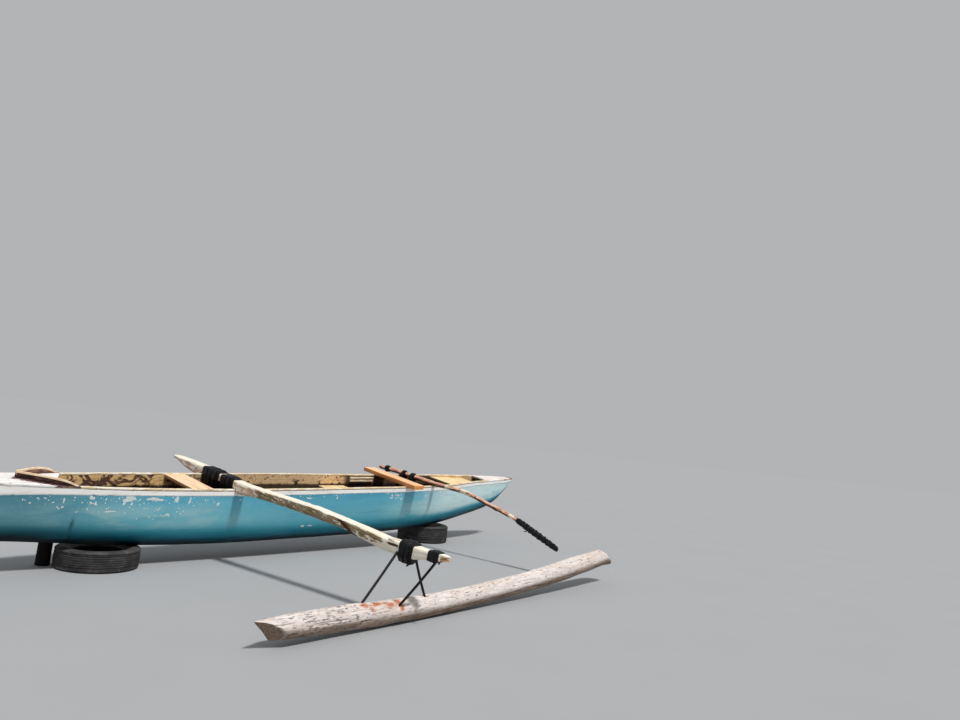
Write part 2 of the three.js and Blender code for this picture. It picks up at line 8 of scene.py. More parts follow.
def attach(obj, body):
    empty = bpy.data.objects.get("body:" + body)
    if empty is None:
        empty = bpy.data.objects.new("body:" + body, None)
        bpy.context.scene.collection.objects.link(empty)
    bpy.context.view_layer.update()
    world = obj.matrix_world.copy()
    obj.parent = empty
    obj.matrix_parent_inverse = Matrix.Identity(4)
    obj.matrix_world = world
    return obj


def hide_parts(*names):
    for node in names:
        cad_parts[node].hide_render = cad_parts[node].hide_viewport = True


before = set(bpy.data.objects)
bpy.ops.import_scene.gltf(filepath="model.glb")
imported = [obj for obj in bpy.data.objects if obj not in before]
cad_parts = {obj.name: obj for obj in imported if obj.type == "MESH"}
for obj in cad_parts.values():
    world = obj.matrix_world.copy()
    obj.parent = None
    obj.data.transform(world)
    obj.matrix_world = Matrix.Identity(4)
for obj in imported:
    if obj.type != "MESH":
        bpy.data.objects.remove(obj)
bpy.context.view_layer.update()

# Single-outrigger canoe standing on old tyres. Tables are in millimetres, in the boat's own frame:
# +X towards the stern, +Y to starboard, the origin on the centreline at the gunwale's height. The boat leans
# to port with its stern a little high. GAP is what touching pieces keep between them.
MM = 0.001
HEEL = math.radians(8.6)
TRIM = math.radians(-1.0)
BOAT_PLACE = Vector((-0.537, 0.823, 0.591))
BOAT = Matrix.Translation(BOAT_PLACE) @ Matrix.Rotation(HEEL, 4, "X") @ Matrix.Rotation(TRIM, 4, "Y")
GAP = 0.3

# Hull sections: station, half beam, sheer height, keel height, fullness, white band below the sheer.
HULL = [
    [-2930, 7, 78, -20, 2.0, 62],
    [-2850, 19, 73, -110, 2.0, 72],
    [-2650, 39, 64, -195, 2.0, 82],
    [-2200, 73, 50, -278, 2.1, 88],
    [-1700, 111, 34, -345, 2.2, 84],
    [-1300, 150, 20, -384, 2.3, 62],
    [-700, 212, 10, -442, 2.5, 53],
    [0, 240, 4, -477, 2.6, 52],
    [700, 251, 6, -485, 2.6, 52],
    [1400, 242, 7, -491, 2.6, 52],
    [2000, 232, 8, -488, 2.5, 52],
    [2600, 210, 17, -458, 2.4, 52],
    [3100, 145, 33, -390, 2.3, 50],
    [3500, 103, 38, -318, 2.1, 48],
    [3640, 87, 39, -272, 2.0, 47],
    [3750, 71, 39, -217, 2.0, 46],
    [3850, 52, 38, -137, 2.0, 45],
    [3935, 31, 37, -68, 2.0, 40],
    [4005, 10, 36, -12, 2.0, 32],
]
HALF_BEAM, SHEER, KEEL, FULLNESS, BAND = 1, 2, 3, 4, 5
BOW, STERN = HULL[0][0], HULL[-1][0]
WIDEST_HALF = max(row[HALF_BEAM] for row in HULL)
WALL, BOTTOM = 22, 34
HOLLOW_FROM, HOLLOW_TO, HOLLOW_RAMP = -2500, 3640, 70
CAP_THICK, CAP_OUTSIDE = 12, 5
FOREDECK_AFT, FOREDECK_V, STERN_DECK_FROM = -1090, 200, 3345
DECK_CROWN = 14
# The dark mark of the log's foremost joint: its station at a drop below the white band, how far it leans,
# its half width, the drops between which it fades in, and how dark it is.
HULL_JOINT = {"station": -1085, "drop": 200, "lean": 0.12, "half": 7.0, "fades": (120, 210), "dark": 0.8}
# Depth below the sheer that the inside paint's value counts as 1.
PAINT_DEPTH = 420


# Tables and repeatable noise

def sample(table, index, at):
    """Smooth value of one column of a table at a station, a cubic between the rows on either side."""
    last = len(table) - 1
    rising = 1 if table[last][0] > table[0][0] else -1
    row = 0
    while row < last - 1 and rising * at > rising * table[row + 1][0]:
        row += 1

    def slope(i):
        before, after = table[max(i - 1, 0)], table[min(i + 1, last)]
        return (after[index] - before[index]) / (after[0] - before[0])

    p, q = table[row], table[row + 1]
    span = q[0] - p[0]
    t = min(max((at - p[0]) / span, 0.0), 1.0)
    ease = t * t * (3 - 2 * t)
    leave = t * (1 - t) * (1 - t) * slope(row) * span
    arrive = t * t * (1 - t) * slope(row + 1) * span
    return p[index] + ease * (q[index] - p[index]) + leave - arrive


def hull(index, stations):
    """One column of the hull's table at a station or at an array of them."""
    return np.vectorize(lambda at: sample(HULL, index, at), otypes=[float])(stations)


def lattice(ix, iy, iz, seed):
    n = (ix * 374761393 + iy * 668265263 + iz * 2246822519 + seed * 974634777) & 0xFFFFFFFF
    n = ((n ^ (n >> 13)) * 1274126177) & 0xFFFFFFFF
    return ((n ^ (n >> 16)) & 0xFFFFFF) / float(0xFFFFFF)


def grain(points, size, seed=0, octaves=3):
    """Smooth noise from about -1 to 1 at points of any shape; size is one length or one an axis."""
    at = np.asarray(points, float) / np.asarray(size, float)
    total = np.zeros(at.shape[:-1])
    weight, norm = 1.0, 0.0
    for octave in range(octaves):
        base = np.floor(at).astype(np.int64)
        part = at - base
        part = part * part * (3 - 2 * part)
        for corner in np.ndindex(2, 2, 2):
            share = np.prod(np.where(np.array(corner, bool), part, 1 - part), axis=-1)
            value = lattice(*(base[..., axis] + corner[axis] for axis in range(3)), seed + octave)
            total += weight * share * (2 * value - 1)
        norm += weight
        weight *= 0.5
        at = at * 2.03 + 17.3
    return total / norm


def smooth(low, high, value):
    t = np.clip((np.asarray(value, float) - low) / (high - low), 0, 1)
    return t * t * (3 - 2 * t)


def spread(first, last, step):
    return np.linspace(first, last, max(1, math.ceil(abs(last - first) / step)) + 1)


def away_from(rings, centre, keep=(1, 1, 1)):
    """Unit vectors from a centre to points, without the axes that are not kept."""
    out = (rings - centre) * np.array(keep)
    return out / np.maximum(np.linalg.norm(out, axis=-1, keepdims=True), 1)


# Meshes

def loft(rings, caps=True, cap_rings=0):
    """Points and faces of a body through equal rings of points, its ends closed to a middle point."""
    rings = np.asarray(rings, float)
    count, around = rings.shape[:2]
    points = [rings.reshape(-1, 3)]
    total = count * around
    faces = []
    for r in range(count - 1):
        for i in range(around):
            a, b = r * around + i, r * around + (i + 1) % around
            faces.append((a, b, b + around, a + around))
    for start, ring, order in ((0, rings[0], -1), (total - around, rings[-1], 1)):
        if not caps:
            break
        middle = ring.mean(axis=0)
        edge = list(range(start, start + around))
        for step in range(cap_rings):
            points.append(middle + (ring - middle) * (1 - (step + 1) / (cap_rings + 1)))
            inner = list(range(total, total + around))
            total += around
            for i in range(around):
                j = (i + 1) % around
                faces.append((edge[i], edge[j], inner[j], inner[i])[::order])
            edge = inner
        points.append(middle[None])
        faces.extend((edge[i], edge[(i + 1) % around], total)[::order] for i in range(around))
        total += 1
    return np.vstack(points), faces


def hoop(rings):
    """Points and faces of a body whose last ring meets its first."""
    rings = np.asarray(rings, float)
    points, faces = loft(np.concatenate([rings, rings[:1]]), caps=False)
    last = rings.shape[0] * rings.shape[1]
    return points[:last], [tuple(i % last for i in face) for face in faces]


def turned(points, faces):
    """The faces, all reversed if the body would be inside out."""
    fans = np.array([(f[0], f[i], f[i + 1]) for f in faces for i in range(1, len(f) - 1)])
    a, b, c = (points[fans[:, k]] for k in range(3))
    return [f[::-1] for f in faces] if np.sum(a * np.cross(b, c)) < 0 else faces


def joined(bodies):
    """Several bodies as one list of points and one of faces."""
    faces, shift = [], 0
    for points, body_faces in bodies:
        faces.extend(tuple(i + shift for i in face) for face in turned(points, body_faces))
        shift += len(points)
    return np.vstack([points for points, _ in bodies]), faces


def values(body, first=0.0, second=0.0, third=0.0, fourth=0.0):
    """Four values for each of a body's points; a shorter list covers the first points, the rest get 0."""
    paint = np.zeros((len(body[0]), 4))
    for index, value in enumerate((first, second, third, fourth)):
        flat = np.ravel(value)
        if flat.size == 1:
            paint[:, index] = flat[0]
        else:
            paint[:flat.size, index] = flat
    return paint


def piece(nodes, body, material, slot=None, paint=None, second=None, sharp=42.0, on_boat=True, arris=None):
    """Object from points in millimetres that takes its nodes' place, or, when slot is set, a new one named
    nodes.

    second is another material and the faces that take it, arris a bevel's width and segments.
    """
    name = nodes if slot else nodes[0] + "_made"
    points, faces = body
    where = points * MM
    if on_boat:
        where = where @ np.array(BOAT.to_3x3()).T + np.array(BOAT_PLACE)
    mesh = bpy.data.meshes.new(name)
    mesh.from_pydata(where.tolist(), [], turned(points, faces))
    mesh.materials.append(material)
    if second:
        mesh.materials.append(second[0])
        mesh.polygons.foreach_set("material_index", np.asarray(second[1], np.int32))
    if paint is not None:
        layer = mesh.attributes.new("paint", "FLOAT_COLOR", "POINT")
        layer.data.foreach_set("color", paint.astype(np.float32).ravel())
    mesh.polygons.foreach_set("use_smooth", np.ones(len(mesh.polygons), bool))
    made = bpy.data.objects.new(name, mesh)
    bpy.context.scene.collection.objects.link(made)
    if arris:
        round_off(made, *arris)
    made.data.set_sharp_from_angle(angle=math.radians(sharp))
    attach(made, "root")
    if not slot:
        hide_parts(*nodes)


def round_off(made, width, segments):
    """Bevels an object's arrises for good."""
    bevel = made.modifiers.new("arris", "BEVEL")
    bevel.width = width * MM
    bevel.segments = segments
    bevel.angle_limit = math.radians(40.0)
    bpy.context.view_layer.update()
    graph = bpy.context.evaluated_depsgraph_get()
    rough = made.data
    made.data = bpy.data.meshes.new_from_object(made.evaluated_get(graph))
    made.modifiers.clear()
    bpy.data.meshes.remove(rough)


# Materials

def ink(red, green, blue):
    """Linear colour of an sRGB one."""
    def linear(c):
        c /= 255.0
        return c / 12.92 if c <= 0.04045 else ((c + 0.055) / 1.055) ** 2.4
    return (linear(red), linear(green), linear(blue), 1.0)


def grey(value):
    return (value, value, value, 1.0)


class Graph:
    """Node graph of one material, put together from values and sockets."""

    def __init__(self, name, on_boat=True):
        self.material = bpy.data.materials.new(name)
        self.material.use_nodes = True
        self.nodes = self.material.node_tree.nodes
        self.links = self.material.node_tree.links
        self.nodes.clear()
        self.output = self.nodes.new("ShaderNodeOutputMaterial")
        own = self.nodes.new("ShaderNodeTexCoord").outputs
        self.place, self.normal = own["Object"], own["Normal"]
        if on_boat:
            self.place = self.aboard(self.place, BOAT_PLACE)
            self.normal = self.aboard(self.normal, (0.0, 0.0, 0.0))

    def aboard(self, vector, origin):
        """A vector of the floor's frame in the boat's."""
        node = self.nodes.new("ShaderNodeMapping")
        node.vector_type = "TEXTURE"
        self.put(node.inputs["Vector"], vector)
        node.inputs["Location"].default_value = origin
        node.inputs["Rotation"].default_value = BOAT.to_euler("XYZ")
        return node.outputs[0]

    def put(self, socket, value):
        if isinstance(value, bpy.types.NodeSocket):
            self.links.new(value, socket)
        else:
            socket.default_value = value

    def stretched(self, stretch, shift=(0.0, 0.0, 0.0)):
        """The place in metres, each axis times its stretch."""
        node = self.nodes.new("ShaderNodeMapping")
        self.put(node.inputs["Vector"], self.place)
        node.inputs["Scale"].default_value = stretch
        node.inputs["Location"].default_value = shift
        return node.outputs[0]

    def noise(self, stretch, scale, detail=4.0, rough=0.55, distort=0.0, shift=(0.0, 0.0, 0.0)):
        node = self.nodes.new("ShaderNodeTexNoise")
        self.put(node.inputs["Vector"], self.stretched(stretch, shift))
        settings = {"Scale": scale, "Detail": detail, "Roughness": rough, "Distortion": distort}
        for name, value in settings.items():
            node.inputs[name].default_value = value
        return node.outputs["Fac"]

    def cells(self, stretch, scale):
        """Distance from the nearest of scattered points."""
        node = self.nodes.new("ShaderNodeTexVoronoi")
        self.put(node.inputs["Vector"], self.stretched(stretch))
        node.inputs["Scale"].default_value = scale
        return node.outputs["Distance"]

    def math(self, operation, a, b=0.0):
        node = self.nodes.new("ShaderNodeMath")
        node.operation = operation
        self.put(node.inputs[0], a)
        self.put(node.inputs[1], b)
        return node.outputs[0]

    def times(self, *factors):
        total = factors[0]
        for factor in factors[1:]:
            total = self.math("MULTIPLY", total, factor)
        return total

    def plus(self, value, other, share=1.0):
        return self.math("ADD", value, self.times(other, share))

    def step(self, value, low, high, start=0.0, end=1.0):
        """Smooth step of a value from start at low to end at high."""
        node = self.nodes.new("ShaderNodeMapRange")
        node.interpolation_type = "SMOOTHSTEP"
        self.put(node.inputs["Value"], value)
        for name, number in (("From Min", low), ("From Max", high), ("To Min", start), ("To Max", end)):
            node.inputs[name].default_value = number
        return node.outputs["Result"]

    def mix(self, share, a, b):
        node = self.nodes.new("ShaderNodeMix")
        node.data_type = "RGBA"
        self.put(node.inputs["Factor"], share)
        self.put(node.inputs[6], a)
        self.put(node.inputs[7], b)
        return node.outputs[2]

    def ramp(self, value, *stops):
        node = self.nodes.new("ShaderNodeValToRGB")
        self.put(node.inputs["Fac"], value)
        band = node.color_ramp
        while len(band.elements) < len(stops):
            band.elements.new(0.5)
        for element, (position, colour) in zip(band.elements, stops):
            element.position = position
            element.color = colour
        return node.outputs["Color"]

    def parts(self, vector):
        node = self.nodes.new("ShaderNodeSeparateXYZ")
        self.put(node.inputs[0], vector)
        return node.outputs

    def painted(self):
        """The four values that the mesh carries a point."""
        node = self.nodes.new("ShaderNodeAttribute")
        node.attribute_name = "paint"
        return (*self.parts(node.outputs["Vector"]), node.outputs["Alpha"])

    def bump(self, height, distance, strength=0.8):
        node = self.nodes.new("ShaderNodeBump")
        node.inputs["Strength"].default_value = strength
        node.inputs["Distance"].default_value = distance
        self.put(node.inputs["Height"], height)
        return node.outputs[0]

    def finish(self, colour, rough, normal, specular=0.3):
        node = self.nodes.new("ShaderNodeBsdfPrincipled")
        self.put(node.inputs["Base Color"], colour)
        self.put(node.inputs["Roughness"], rough)
        self.put(node.inputs["Normal"], normal)
        node.inputs["Specular IOR Level"].default_value = specular
        self.links.new(node.outputs[0], self.output.inputs["Surface"])
        return self.material


def hull_paint():
    """Teal brushed over the log: even above mid height, deep teal low down and painted shade to near black at
    the keel, greyer forward, paler aft.
    """
    g = Graph("hull_paint")
    height, joint = g.painted()[:2]
    along = g.parts(g.place)[0]
    strokes = g.noise((1.1, 3.0, 10.0), 2.4, 5.0, 0.6)
    patches = g.noise((1.0, 2.0, 2.4), 2.8, 5.0, 0.62, 0.4, (3.1, 0, 0))
    fine = g.noise((6.0, 9.0, 24.0), 9.0, 4.0, 0.62)
    shade = g.plus(g.plus(height, strokes, 0.16), -0.08)
    # Darker towards the keel: deeper teal paint, then painted shade down to near black at the bottom.
    base = g.ramp(
        shade,
        (0.0, ink(0, 6, 10)), (0.12, ink(0, 36, 44)), (0.2, ink(4, 90, 108)), (0.3, ink(40, 138, 158)),
        (0.42, ink(86, 178, 196)), (0.55, ink(116, 194, 210)), (0.75, ink(108, 184, 204)),
        (1.0, ink(90, 172, 198)),
    )
    # Forward, the low part is darkened the same way with painted shade.
    greyer = g.mix(g.step(height, 0.2, 0.5), ink(8, 24, 28), ink(70, 106, 114))
    base = g.mix(g.step(along, -1.4, -0.5, 0.62, 0.0), base, greyer)
    rich = g.times(g.step(along, 0.0, 0.5), g.step(along, 1.5, 1.9, 1.0, 0.0), g.step(height, 0.3, 0.6))
    base = g.mix(g.times(rich, 0.3), base, ink(58, 148, 178))
    reach = g.times(g.plus(along, 1.4), 0.2)
    share = g.ramp(
        reach,
        (0.0, grey(0.1)), (0.08, grey(0.5)), (0.24, grey(0.55)), (0.33, grey(0.1)), (0.6, grey(0.05)),
        (0.73, grey(0.7)), (0.82, grey(0.95)), (1.0, grey(1.0)),
    )
    aft = g.step(along, 1.8, 2.6)
    where = g.times(g.step(height, 0.34, 0.50), g.math("MAXIMUM", aft, g.step(height, 0.66, 0.90, 1.0, 0.25)))
    pale = g.times(share, where, g.step(g.plus(patches, aft, 0.2), 0.40, 0.62))
    base = g.mix(pale, base, g.mix(aft, ink(172, 208, 210), ink(210, 236, 238)))
    base = g.mix(g.step(strokes, 0.50, 0.68, 0.0, 0.16), base, ink(44, 112, 132))
    base = g.mix(g.times(g.step(fine, 0.52, 0.72), g.step(height, 0.3, 0.6), 0.20), base, ink(176, 204, 204))
    base = g.mix(joint, base, ink(8, 20, 22))
    relief = g.plus(g.times(fine, 0.4), strokes, 0.5)
    return g.finish(base, g.step(fine, 0.3, 0.8, 0.48, 0.66), g.bump(relief, 0.0010, 0.7), 0.14)


def primer():
    """White undercoat where the teal has chipped off."""
    g = Graph("primer")
    fine = g.noise((20.0, 20.0, 30.0), 6.0, 4.0)
    base = g.ramp(fine, (0.32, ink(190, 206, 206)), (0.55, ink(228, 234, 232)))
    return g.finish(base, 0.7, g.bump(fine, 0.0006))


def inside_paint():
    """Ochre log inside, with purple-brown blotches forward, fewer further aft, dark low down, and a painted
    shadow under the rear thwart and the stick.
    """
    g = Graph("inside_paint")
    depth = g.painted()[3]
    along = g.parts(g.place)[0]
    blotch = g.noise((1.0, 1.0, 1.3), 9.5, 6.0, 0.66, 1.2)
    fine = g.noise((8.0, 14.0, 26.0), 6.0, 5.0, 0.62)
    streak = g.noise((1.2, 6.0, 14.0), 5.0, 5.0, 0.6)
    ochre = g.ramp(fine, (0.30, ink(190, 140, 84)), (0.5, ink(238, 200, 138)), (0.72, ink(246, 220, 170)))
    plain = g.ramp(fine, (0.30, ink(172, 134, 92)), (0.5, ink(224, 190, 144)), (0.72, ink(236, 210, 170)))
    base = g.mix(g.step(along, -0.5, 0.3), ochre, plain)
    base = g.mix(g.step(streak, 0.54, 0.72, 0.0, 0.35), base, ink(150, 108, 72))
    forward = g.step(along, -0.4, 0.3, 1.0, 0.0)
    dark = g.step(g.plus(blotch, forward, 0.07), 0.545, 0.63)
    base = g.mix(g.times(dark, 0.95), base, g.ramp(fine, (0.35, ink(50, 24, 34)), (0.65, ink(92, 56, 54))))
    # Painted shadow of the rear thwart, the stick and their lashings: the inside near black between the
    # middle seat and the stern seat.
    painted_shadow_aft = g.times(g.step(along, 1.48, 1.56), g.step(along, 2.7, 2.9, 1.0, 0.0))
    base = g.mix(g.times(painted_shadow_aft, 0.9), base, ink(48, 32, 26))
    low = g.plus(depth, blotch, 0.08)
    base = g.mix(g.step(low, 0.225, 0.275, 0.0, 0.93), base, ink(34, 18, 16))
    relief = g.plus(g.times(fine, 0.6), dark, -0.5)
    return g.finish(base, 0.8, g.bump(relief, 0.0016), 0.2)


def white_paint():
    """Chalky white band, dirtier forward, chipped to teal below, with a painted shadow line under the cap."""
    g = Graph("white_paint")
    level = g.painted()[0]
    along = g.parts(g.place)[0]
    dirt = g.noise((2.0, 6.0, 16.0), 3.6, 6.0, 0.62, 0.3)
    fine = g.noise((9.0, 12.0, 20.0), 9.0, 5.0, 0.6)
    flake = g.noise((14.0, 14.0, 30.0), 2.4, 6.0, 0.68)
    base = g.ramp(dirt, (0.28, ink(216, 208, 196)), (0.44, ink(248, 247, 243)), (0.60, ink(252, 251, 249)))
    base = g.mix(g.step(fine, 0.56, 0.78, 0.0, 0.22), base, ink(212, 202, 190))
    base = g.mix(g.step(along, -1.3, -0.2, 0.18, 0.0), base, ink(190, 190, 190))
    teal = g.step(g.plus(flake, g.step(level, 0.0, 0.25, 0.20, 0.0)), 0.72, 0.75)
    base = g.mix(teal, base, ink(96, 150, 160))
    bare = g.step(g.plus(flake, g.step(level, 0.5, 1.0, 0.0, 0.12)), 0.73, 0.77)
    base = g.mix(bare, base, ink(120, 92, 76))
    # Painted shadow: a dark brown line along the top of the band, under the cap's overhang.
    cap_shadow_line = g.times(g.step(g.plus(level, flake, 0.16), 0.955, 0.99), g.step(along, -1.12, -1.02))
    base = g.mix(g.times(cap_shadow_line, g.step(along, 3.2, 3.4, 0.8, 0.0)), base, ink(92, 66, 48))
    relief = g.plus(g.times(fine, 0.4), g.math("MAXIMUM", teal, bare), -0.6)
    return g.finish(base, 0.62, g.bump(relief, 0.0012))


def deck_paint():
    """Chalky deck paint; the mesh says where it is smeared purple-brown, densest beside the wave breaker
    where it is also painted shade, spotted red-brown or worn bare.
    """
    g = Graph("deck_paint")
    smear, spots, edge, pink = g.painted()
    drag = g.noise((2.4, 9.0, 6.0), 3.0, 6.0, 0.66, 0.5)
    fine = g.noise((9.0, 16.0, 16.0), 7.0, 5.0, 0.62)
    lines = g.noise((1.6, 30.0, 20.0), 3.4, 5.0, 0.66, 0.3)
    base = g.ramp(fine, (0.28, ink(206, 204, 202)), (0.5, ink(232, 231, 229)), (0.7, ink(240, 239, 237)))
    base = g.mix(g.step(lines, 0.54, 0.64, 0.0, 0.55), base, ink(146, 140, 138))
    base = g.mix(g.times(pink, g.step(drag, 0.40, 0.62), 0.6), base, ink(222, 184, 172))
    # Purple-brown smears; where they are densest, beside the breaker arms, they are also painted shade.
    smear_and_shade = g.step(g.plus(drag, smear, 0.46), 0.66, 0.76)
    base = g.mix(smear_and_shade, base, g.ramp(fine, (0.38, ink(66, 42, 48)), (0.62, ink(122, 90, 90))))
    ringed = g.step(g.plus(fine, spots, 0.5), 0.82, 0.92)
    base = g.mix(ringed, base, ink(124, 62, 46))
    base = g.mix(g.times(edge, g.step(drag, 0.44, 0.60)), base, ink(158, 130, 106))
    relief = g.plus(g.times(fine, 0.5), smear_and_shade, -0.45)
    return g.finish(base, 0.72, g.bump(relief, 0.0012), 0.25)


def timber(name, light, mid, dark, side, axis=1, end=None):
    """Sawn wood with its grain along one axis, its sides darker than its top with painted shade."""
    g = Graph(name)
    long = [9.0, 9.0, 9.0]
    long[axis] = 0.7
    fibre_stretch = [52.0, 52.0, 52.0]
    fibre_stretch[axis] = 4.0
    rings = g.noise(long, 3.2, 6.0, 0.62, 1.1)
    fibre = g.noise(fibre_stretch, 3.0, 3.0, 0.7)
    broad = g.noise((2.0, 2.0, 2.0), 1.7, 3.0, 0.55, 0.0, (1.7, 0.4, 0))
    base = g.ramp(rings, (0.32, dark), (0.46, mid), (0.60, light), (0.72, mid))
    base = g.mix(g.step(fibre, 0.48, 0.74, 0.0, 0.30), base, dark)
    base = g.mix(g.step(broad, 0.40, 0.66, 0.0, 0.35), base, light)
    normal = g.parts(g.normal)
    # Painted shade: faces that don't face up take the darker side colour.
    base = g.mix(g.step(normal[2], 0.35, 0.8, 0.85, 0.0), base, side)
    if end:
        base = g.mix(g.step(g.math("ABSOLUTE", normal[1]), 0.6, 0.9, 0.0, 0.8), base, end)
    relief = g.plus(g.times(rings, 0.6), fibre, 0.5)
    return g.finish(base, 0.66, g.bump(relief, 0.0010), 0.25)


def cap_wood():
    """Cream gunwale wood with remains of white paint, more of it forward."""
    g = Graph("cap_wood")
    along = g.parts(g.place)[0]
    fibre = g.noise((1.2, 20.0, 20.0), 7.0, 5.0, 0.66, 0.4)
    flake = g.noise((4.0, 16.0, 16.0), 3.0, 6.0, 0.66)
    broad = g.noise((1.4, 3.0, 3.0), 2.0, 3.0)
    base = g.ramp(fibre, (0.30, ink(140, 108, 76)), (0.46, ink(212, 184, 144)), (0.66, ink(236, 212, 174)))
    base = g.mix(g.step(broad, 0.40, 0.66, 0.0, 0.35), base, ink(236, 220, 190))
    white = g.step(g.plus(flake, g.step(along, -1.2, 1.2, 0.08, 0.0)), 0.53, 0.58)
    base = g.mix(white, base, ink(238, 232, 218))
    relief = g.plus(g.times(fibre, 0.8), white, 0.35)
    return g.finish(base, 0.72, g.bump(relief, 0.0012), 0.25)


def breaker_wood():
    """Thin bent board: cream along its top, stained dark brown below with painted shade on the port arm,
    lighter on the starboard arm.
    """
    g = Graph("breaker_wood")
    below_top = g.painted()[0]
    fibre = g.noise((3.0, 8.0, 20.0), 4.0, 5.0, 0.65, 0.5)
    across = g.parts(g.place)[1]
    # Port arm below its top: stained dark brown wood, darkened further as painted shade.
    face = g.ramp(fibre, (0.32, ink(24, 12, 12)), (0.5, ink(52, 32, 28)), (0.68, ink(96, 66, 54)))
    inner = g.ramp(fibre, (0.34, ink(88, 54, 52)), (0.6, ink(158, 118, 104)))
    top = g.ramp(fibre, (0.32, ink(222, 186, 146)), (0.6, ink(248, 228, 198)))
    base = g.mix(g.step(across, -0.004, 0.004), face, inner)
    base = g.mix(g.step(g.plus(below_top, fibre, 0.12), 0.34, 0.40, 1.0, 0.0), base, top)
    return g.finish(base, 0.75, g.bump(fibre, 0.0012), 0.25)


def weathered_beam():
    """Old boom: cream paint on top, flaked to wood on its sides, tan by the hull, olive-brown beyond."""
    g = Graph("weathered_beam")
    cover, raw, stain_and_crack_shade, tan = g.painted()
    fibre = g.noise((20.0, 1.4, 20.0), 6.0, 5.0, 0.66, 0.5)
    flake = g.noise((16.0, 5.0, 16.0), 2.6, 6.0, 0.70, 0.3)
    broad = g.noise((3.0, 1.6, 3.0), 2.2, 3.0, 0.55, 0.0, (0, 3.3, 0))
    cream = g.ramp(fibre, (0.30, ink(206, 192, 168)), (0.48, ink(238, 232, 216)), (0.66, ink(243, 240, 232)))
    cream = g.mix(g.step(broad, 0.46, 0.64, 0.0, 0.35), cream, ink(230, 216, 190))
    olive = g.ramp(fibre, (0.30, ink(66, 50, 32)), (0.45, ink(126, 106, 76)), (0.62, ink(164, 146, 112)))
    pink = g.ramp(fibre, (0.30, ink(132, 90, 70)), (0.45, ink(200, 158, 132)), (0.62, ink(226, 192, 168)))
    wood = g.mix(tan, olive, pink)
    specks = g.times(g.step(g.cells((1.0, 0.6, 1.0), 58.0), 0.10, 0.18, 1.0, 0.0), g.step(broad, 0.36, 0.52))
    covered = g.step(g.plus(flake, g.plus(cover, -0.5), 0.52), 0.45, 0.50)
    kept = g.math("MAXIMUM", covered, g.times(specks, 0.8))
    base = g.mix(kept, wood, cream)
    base = g.mix(raw, base, g.ramp(fibre, (0.34, ink(140, 84, 48)), (0.6, ink(226, 170, 118))))
    # Dark by the splice where the wood is stained, and along a split the painted shade of a crack.
    base = g.mix(g.step(g.plus(g.times(stain_and_crack_shade, 0.6), flake, 0.5), 0.50, 0.66), base, ink(70, 42, 26))
    relief = g.plus(g.times(fibre, 0.8), kept, 0.7)
    return g.finish(base, 0.7, g.bump(relief, 0.0016, 0.9), 0.25)


def bark_branch():
    """Stick with painted light on its upper side, salmon and cream there, and painted shade below; dark at
    its knots.
    """
    g = Graph("bark_branch")
    knot, pale = g.painted()[:2]
    up = g.parts(g.normal)[2]
    skin = g.noise((14.0, 3.4, 14.0), 4.0, 6.0, 0.68, 0.6)
    fine = g.noise((40.0, 14.0, 40.0), 4.0, 4.0, 0.6)
    low = g.ramp(skin, (0.34, ink(44, 26, 22)), (0.5, ink(98, 62, 50)), (0.68, ink(150, 104, 84)))
    high = g.ramp(skin, (0.32, ink(138, 88, 70)), (0.46, ink(206, 150, 126)), (0.66, ink(234, 198, 172)))
    # Painted light and shade: pale where a face turns up, dark underneath.
    base = g.mix(g.step(g.plus(up, skin, 0.9), 0.30, 0.85), low, high)
    base = g.mix(g.step(g.plus(skin, pale, 0.34), 0.66, 0.76), base, ink(236, 218, 194))
    base = g.mix(g.step(g.plus(fine, knot, 0.5), 0.76, 0.90), base, ink(36, 20, 18))
    return g.finish(base, 0.78, g.bump(g.plus(skin, fine, 0.4), 0.0022, 0.9), 0.25)


def bleached_log():
    """Sun-bleached log: grey and near-black grain marks, rust by the rods, its lower half browner and darker
    with painted shade, its cut ends brown and darkened with painted shade.
    """
    g = Graph("bleached_log")
    rust, sawn, side, dashes = g.painted()
    fibre = g.noise((1.6, 17.0, 17.0), 5.0, 6.0, 0.70, 0.7)
    streak = g.noise((9.0, 34.0, 34.0), 3.4, 5.0, 0.66, 0.4, (0.5, 0, 0))
    gaps = g.noise((1.3, 3.0, 3.0), 2.4, 3.0, 0.55, 0.0, (2.1, 0, 0))
    fine = g.noise((30.0, 50.0, 50.0), 4.0, 4.0, 0.65)
    smear = g.noise((9.0, 9.0, 9.0), 3.0, 5.0, 0.66)
    base = g.ramp(fibre, (0.28, ink(152, 142, 140)), (0.42, ink(206, 196, 191)), (0.62, ink(230, 222, 216)))
    # Lower half: browner wood and painted shade, darker towards the bottom.
    low = g.ramp(fibre, (0.30, ink(54, 38, 28)), (0.46, ink(116, 96, 80)), (0.64, ink(156, 138, 120)))
    base = g.mix(g.times(side, 0.95), base, low)
    base = g.mix(g.step(gaps, 0.48, 0.64, 0.0, 0.35), base, ink(200, 178, 164))
    marks = g.times(g.step(g.plus(streak, dashes, 0.03), 0.58, 0.63), g.step(gaps, 0.34, 0.52, 0.3, 1.0))
    base = g.mix(g.times(marks, 0.72), base, ink(70, 68, 80))
    # Cut ends: raw brown wood, darkened further as painted shade.
    cut = g.ramp(fine, (0.34, ink(66, 46, 34)), (0.60, ink(146, 120, 98)))
    base = g.mix(g.times(sawn, 0.9), base, cut)
    rusty = g.step(g.plus(g.times(rust, 0.5), smear, 0.9), 0.56, 0.92, 0.0, 0.9)
    base = g.mix(rusty, base, g.ramp(fine, (0.35, ink(140, 62, 24)), (0.62, ink(206, 118, 58))))
    return g.finish(base, 0.8, g.bump(g.plus(fibre, marks, -0.8), 0.0026, 0.9), 0.2)


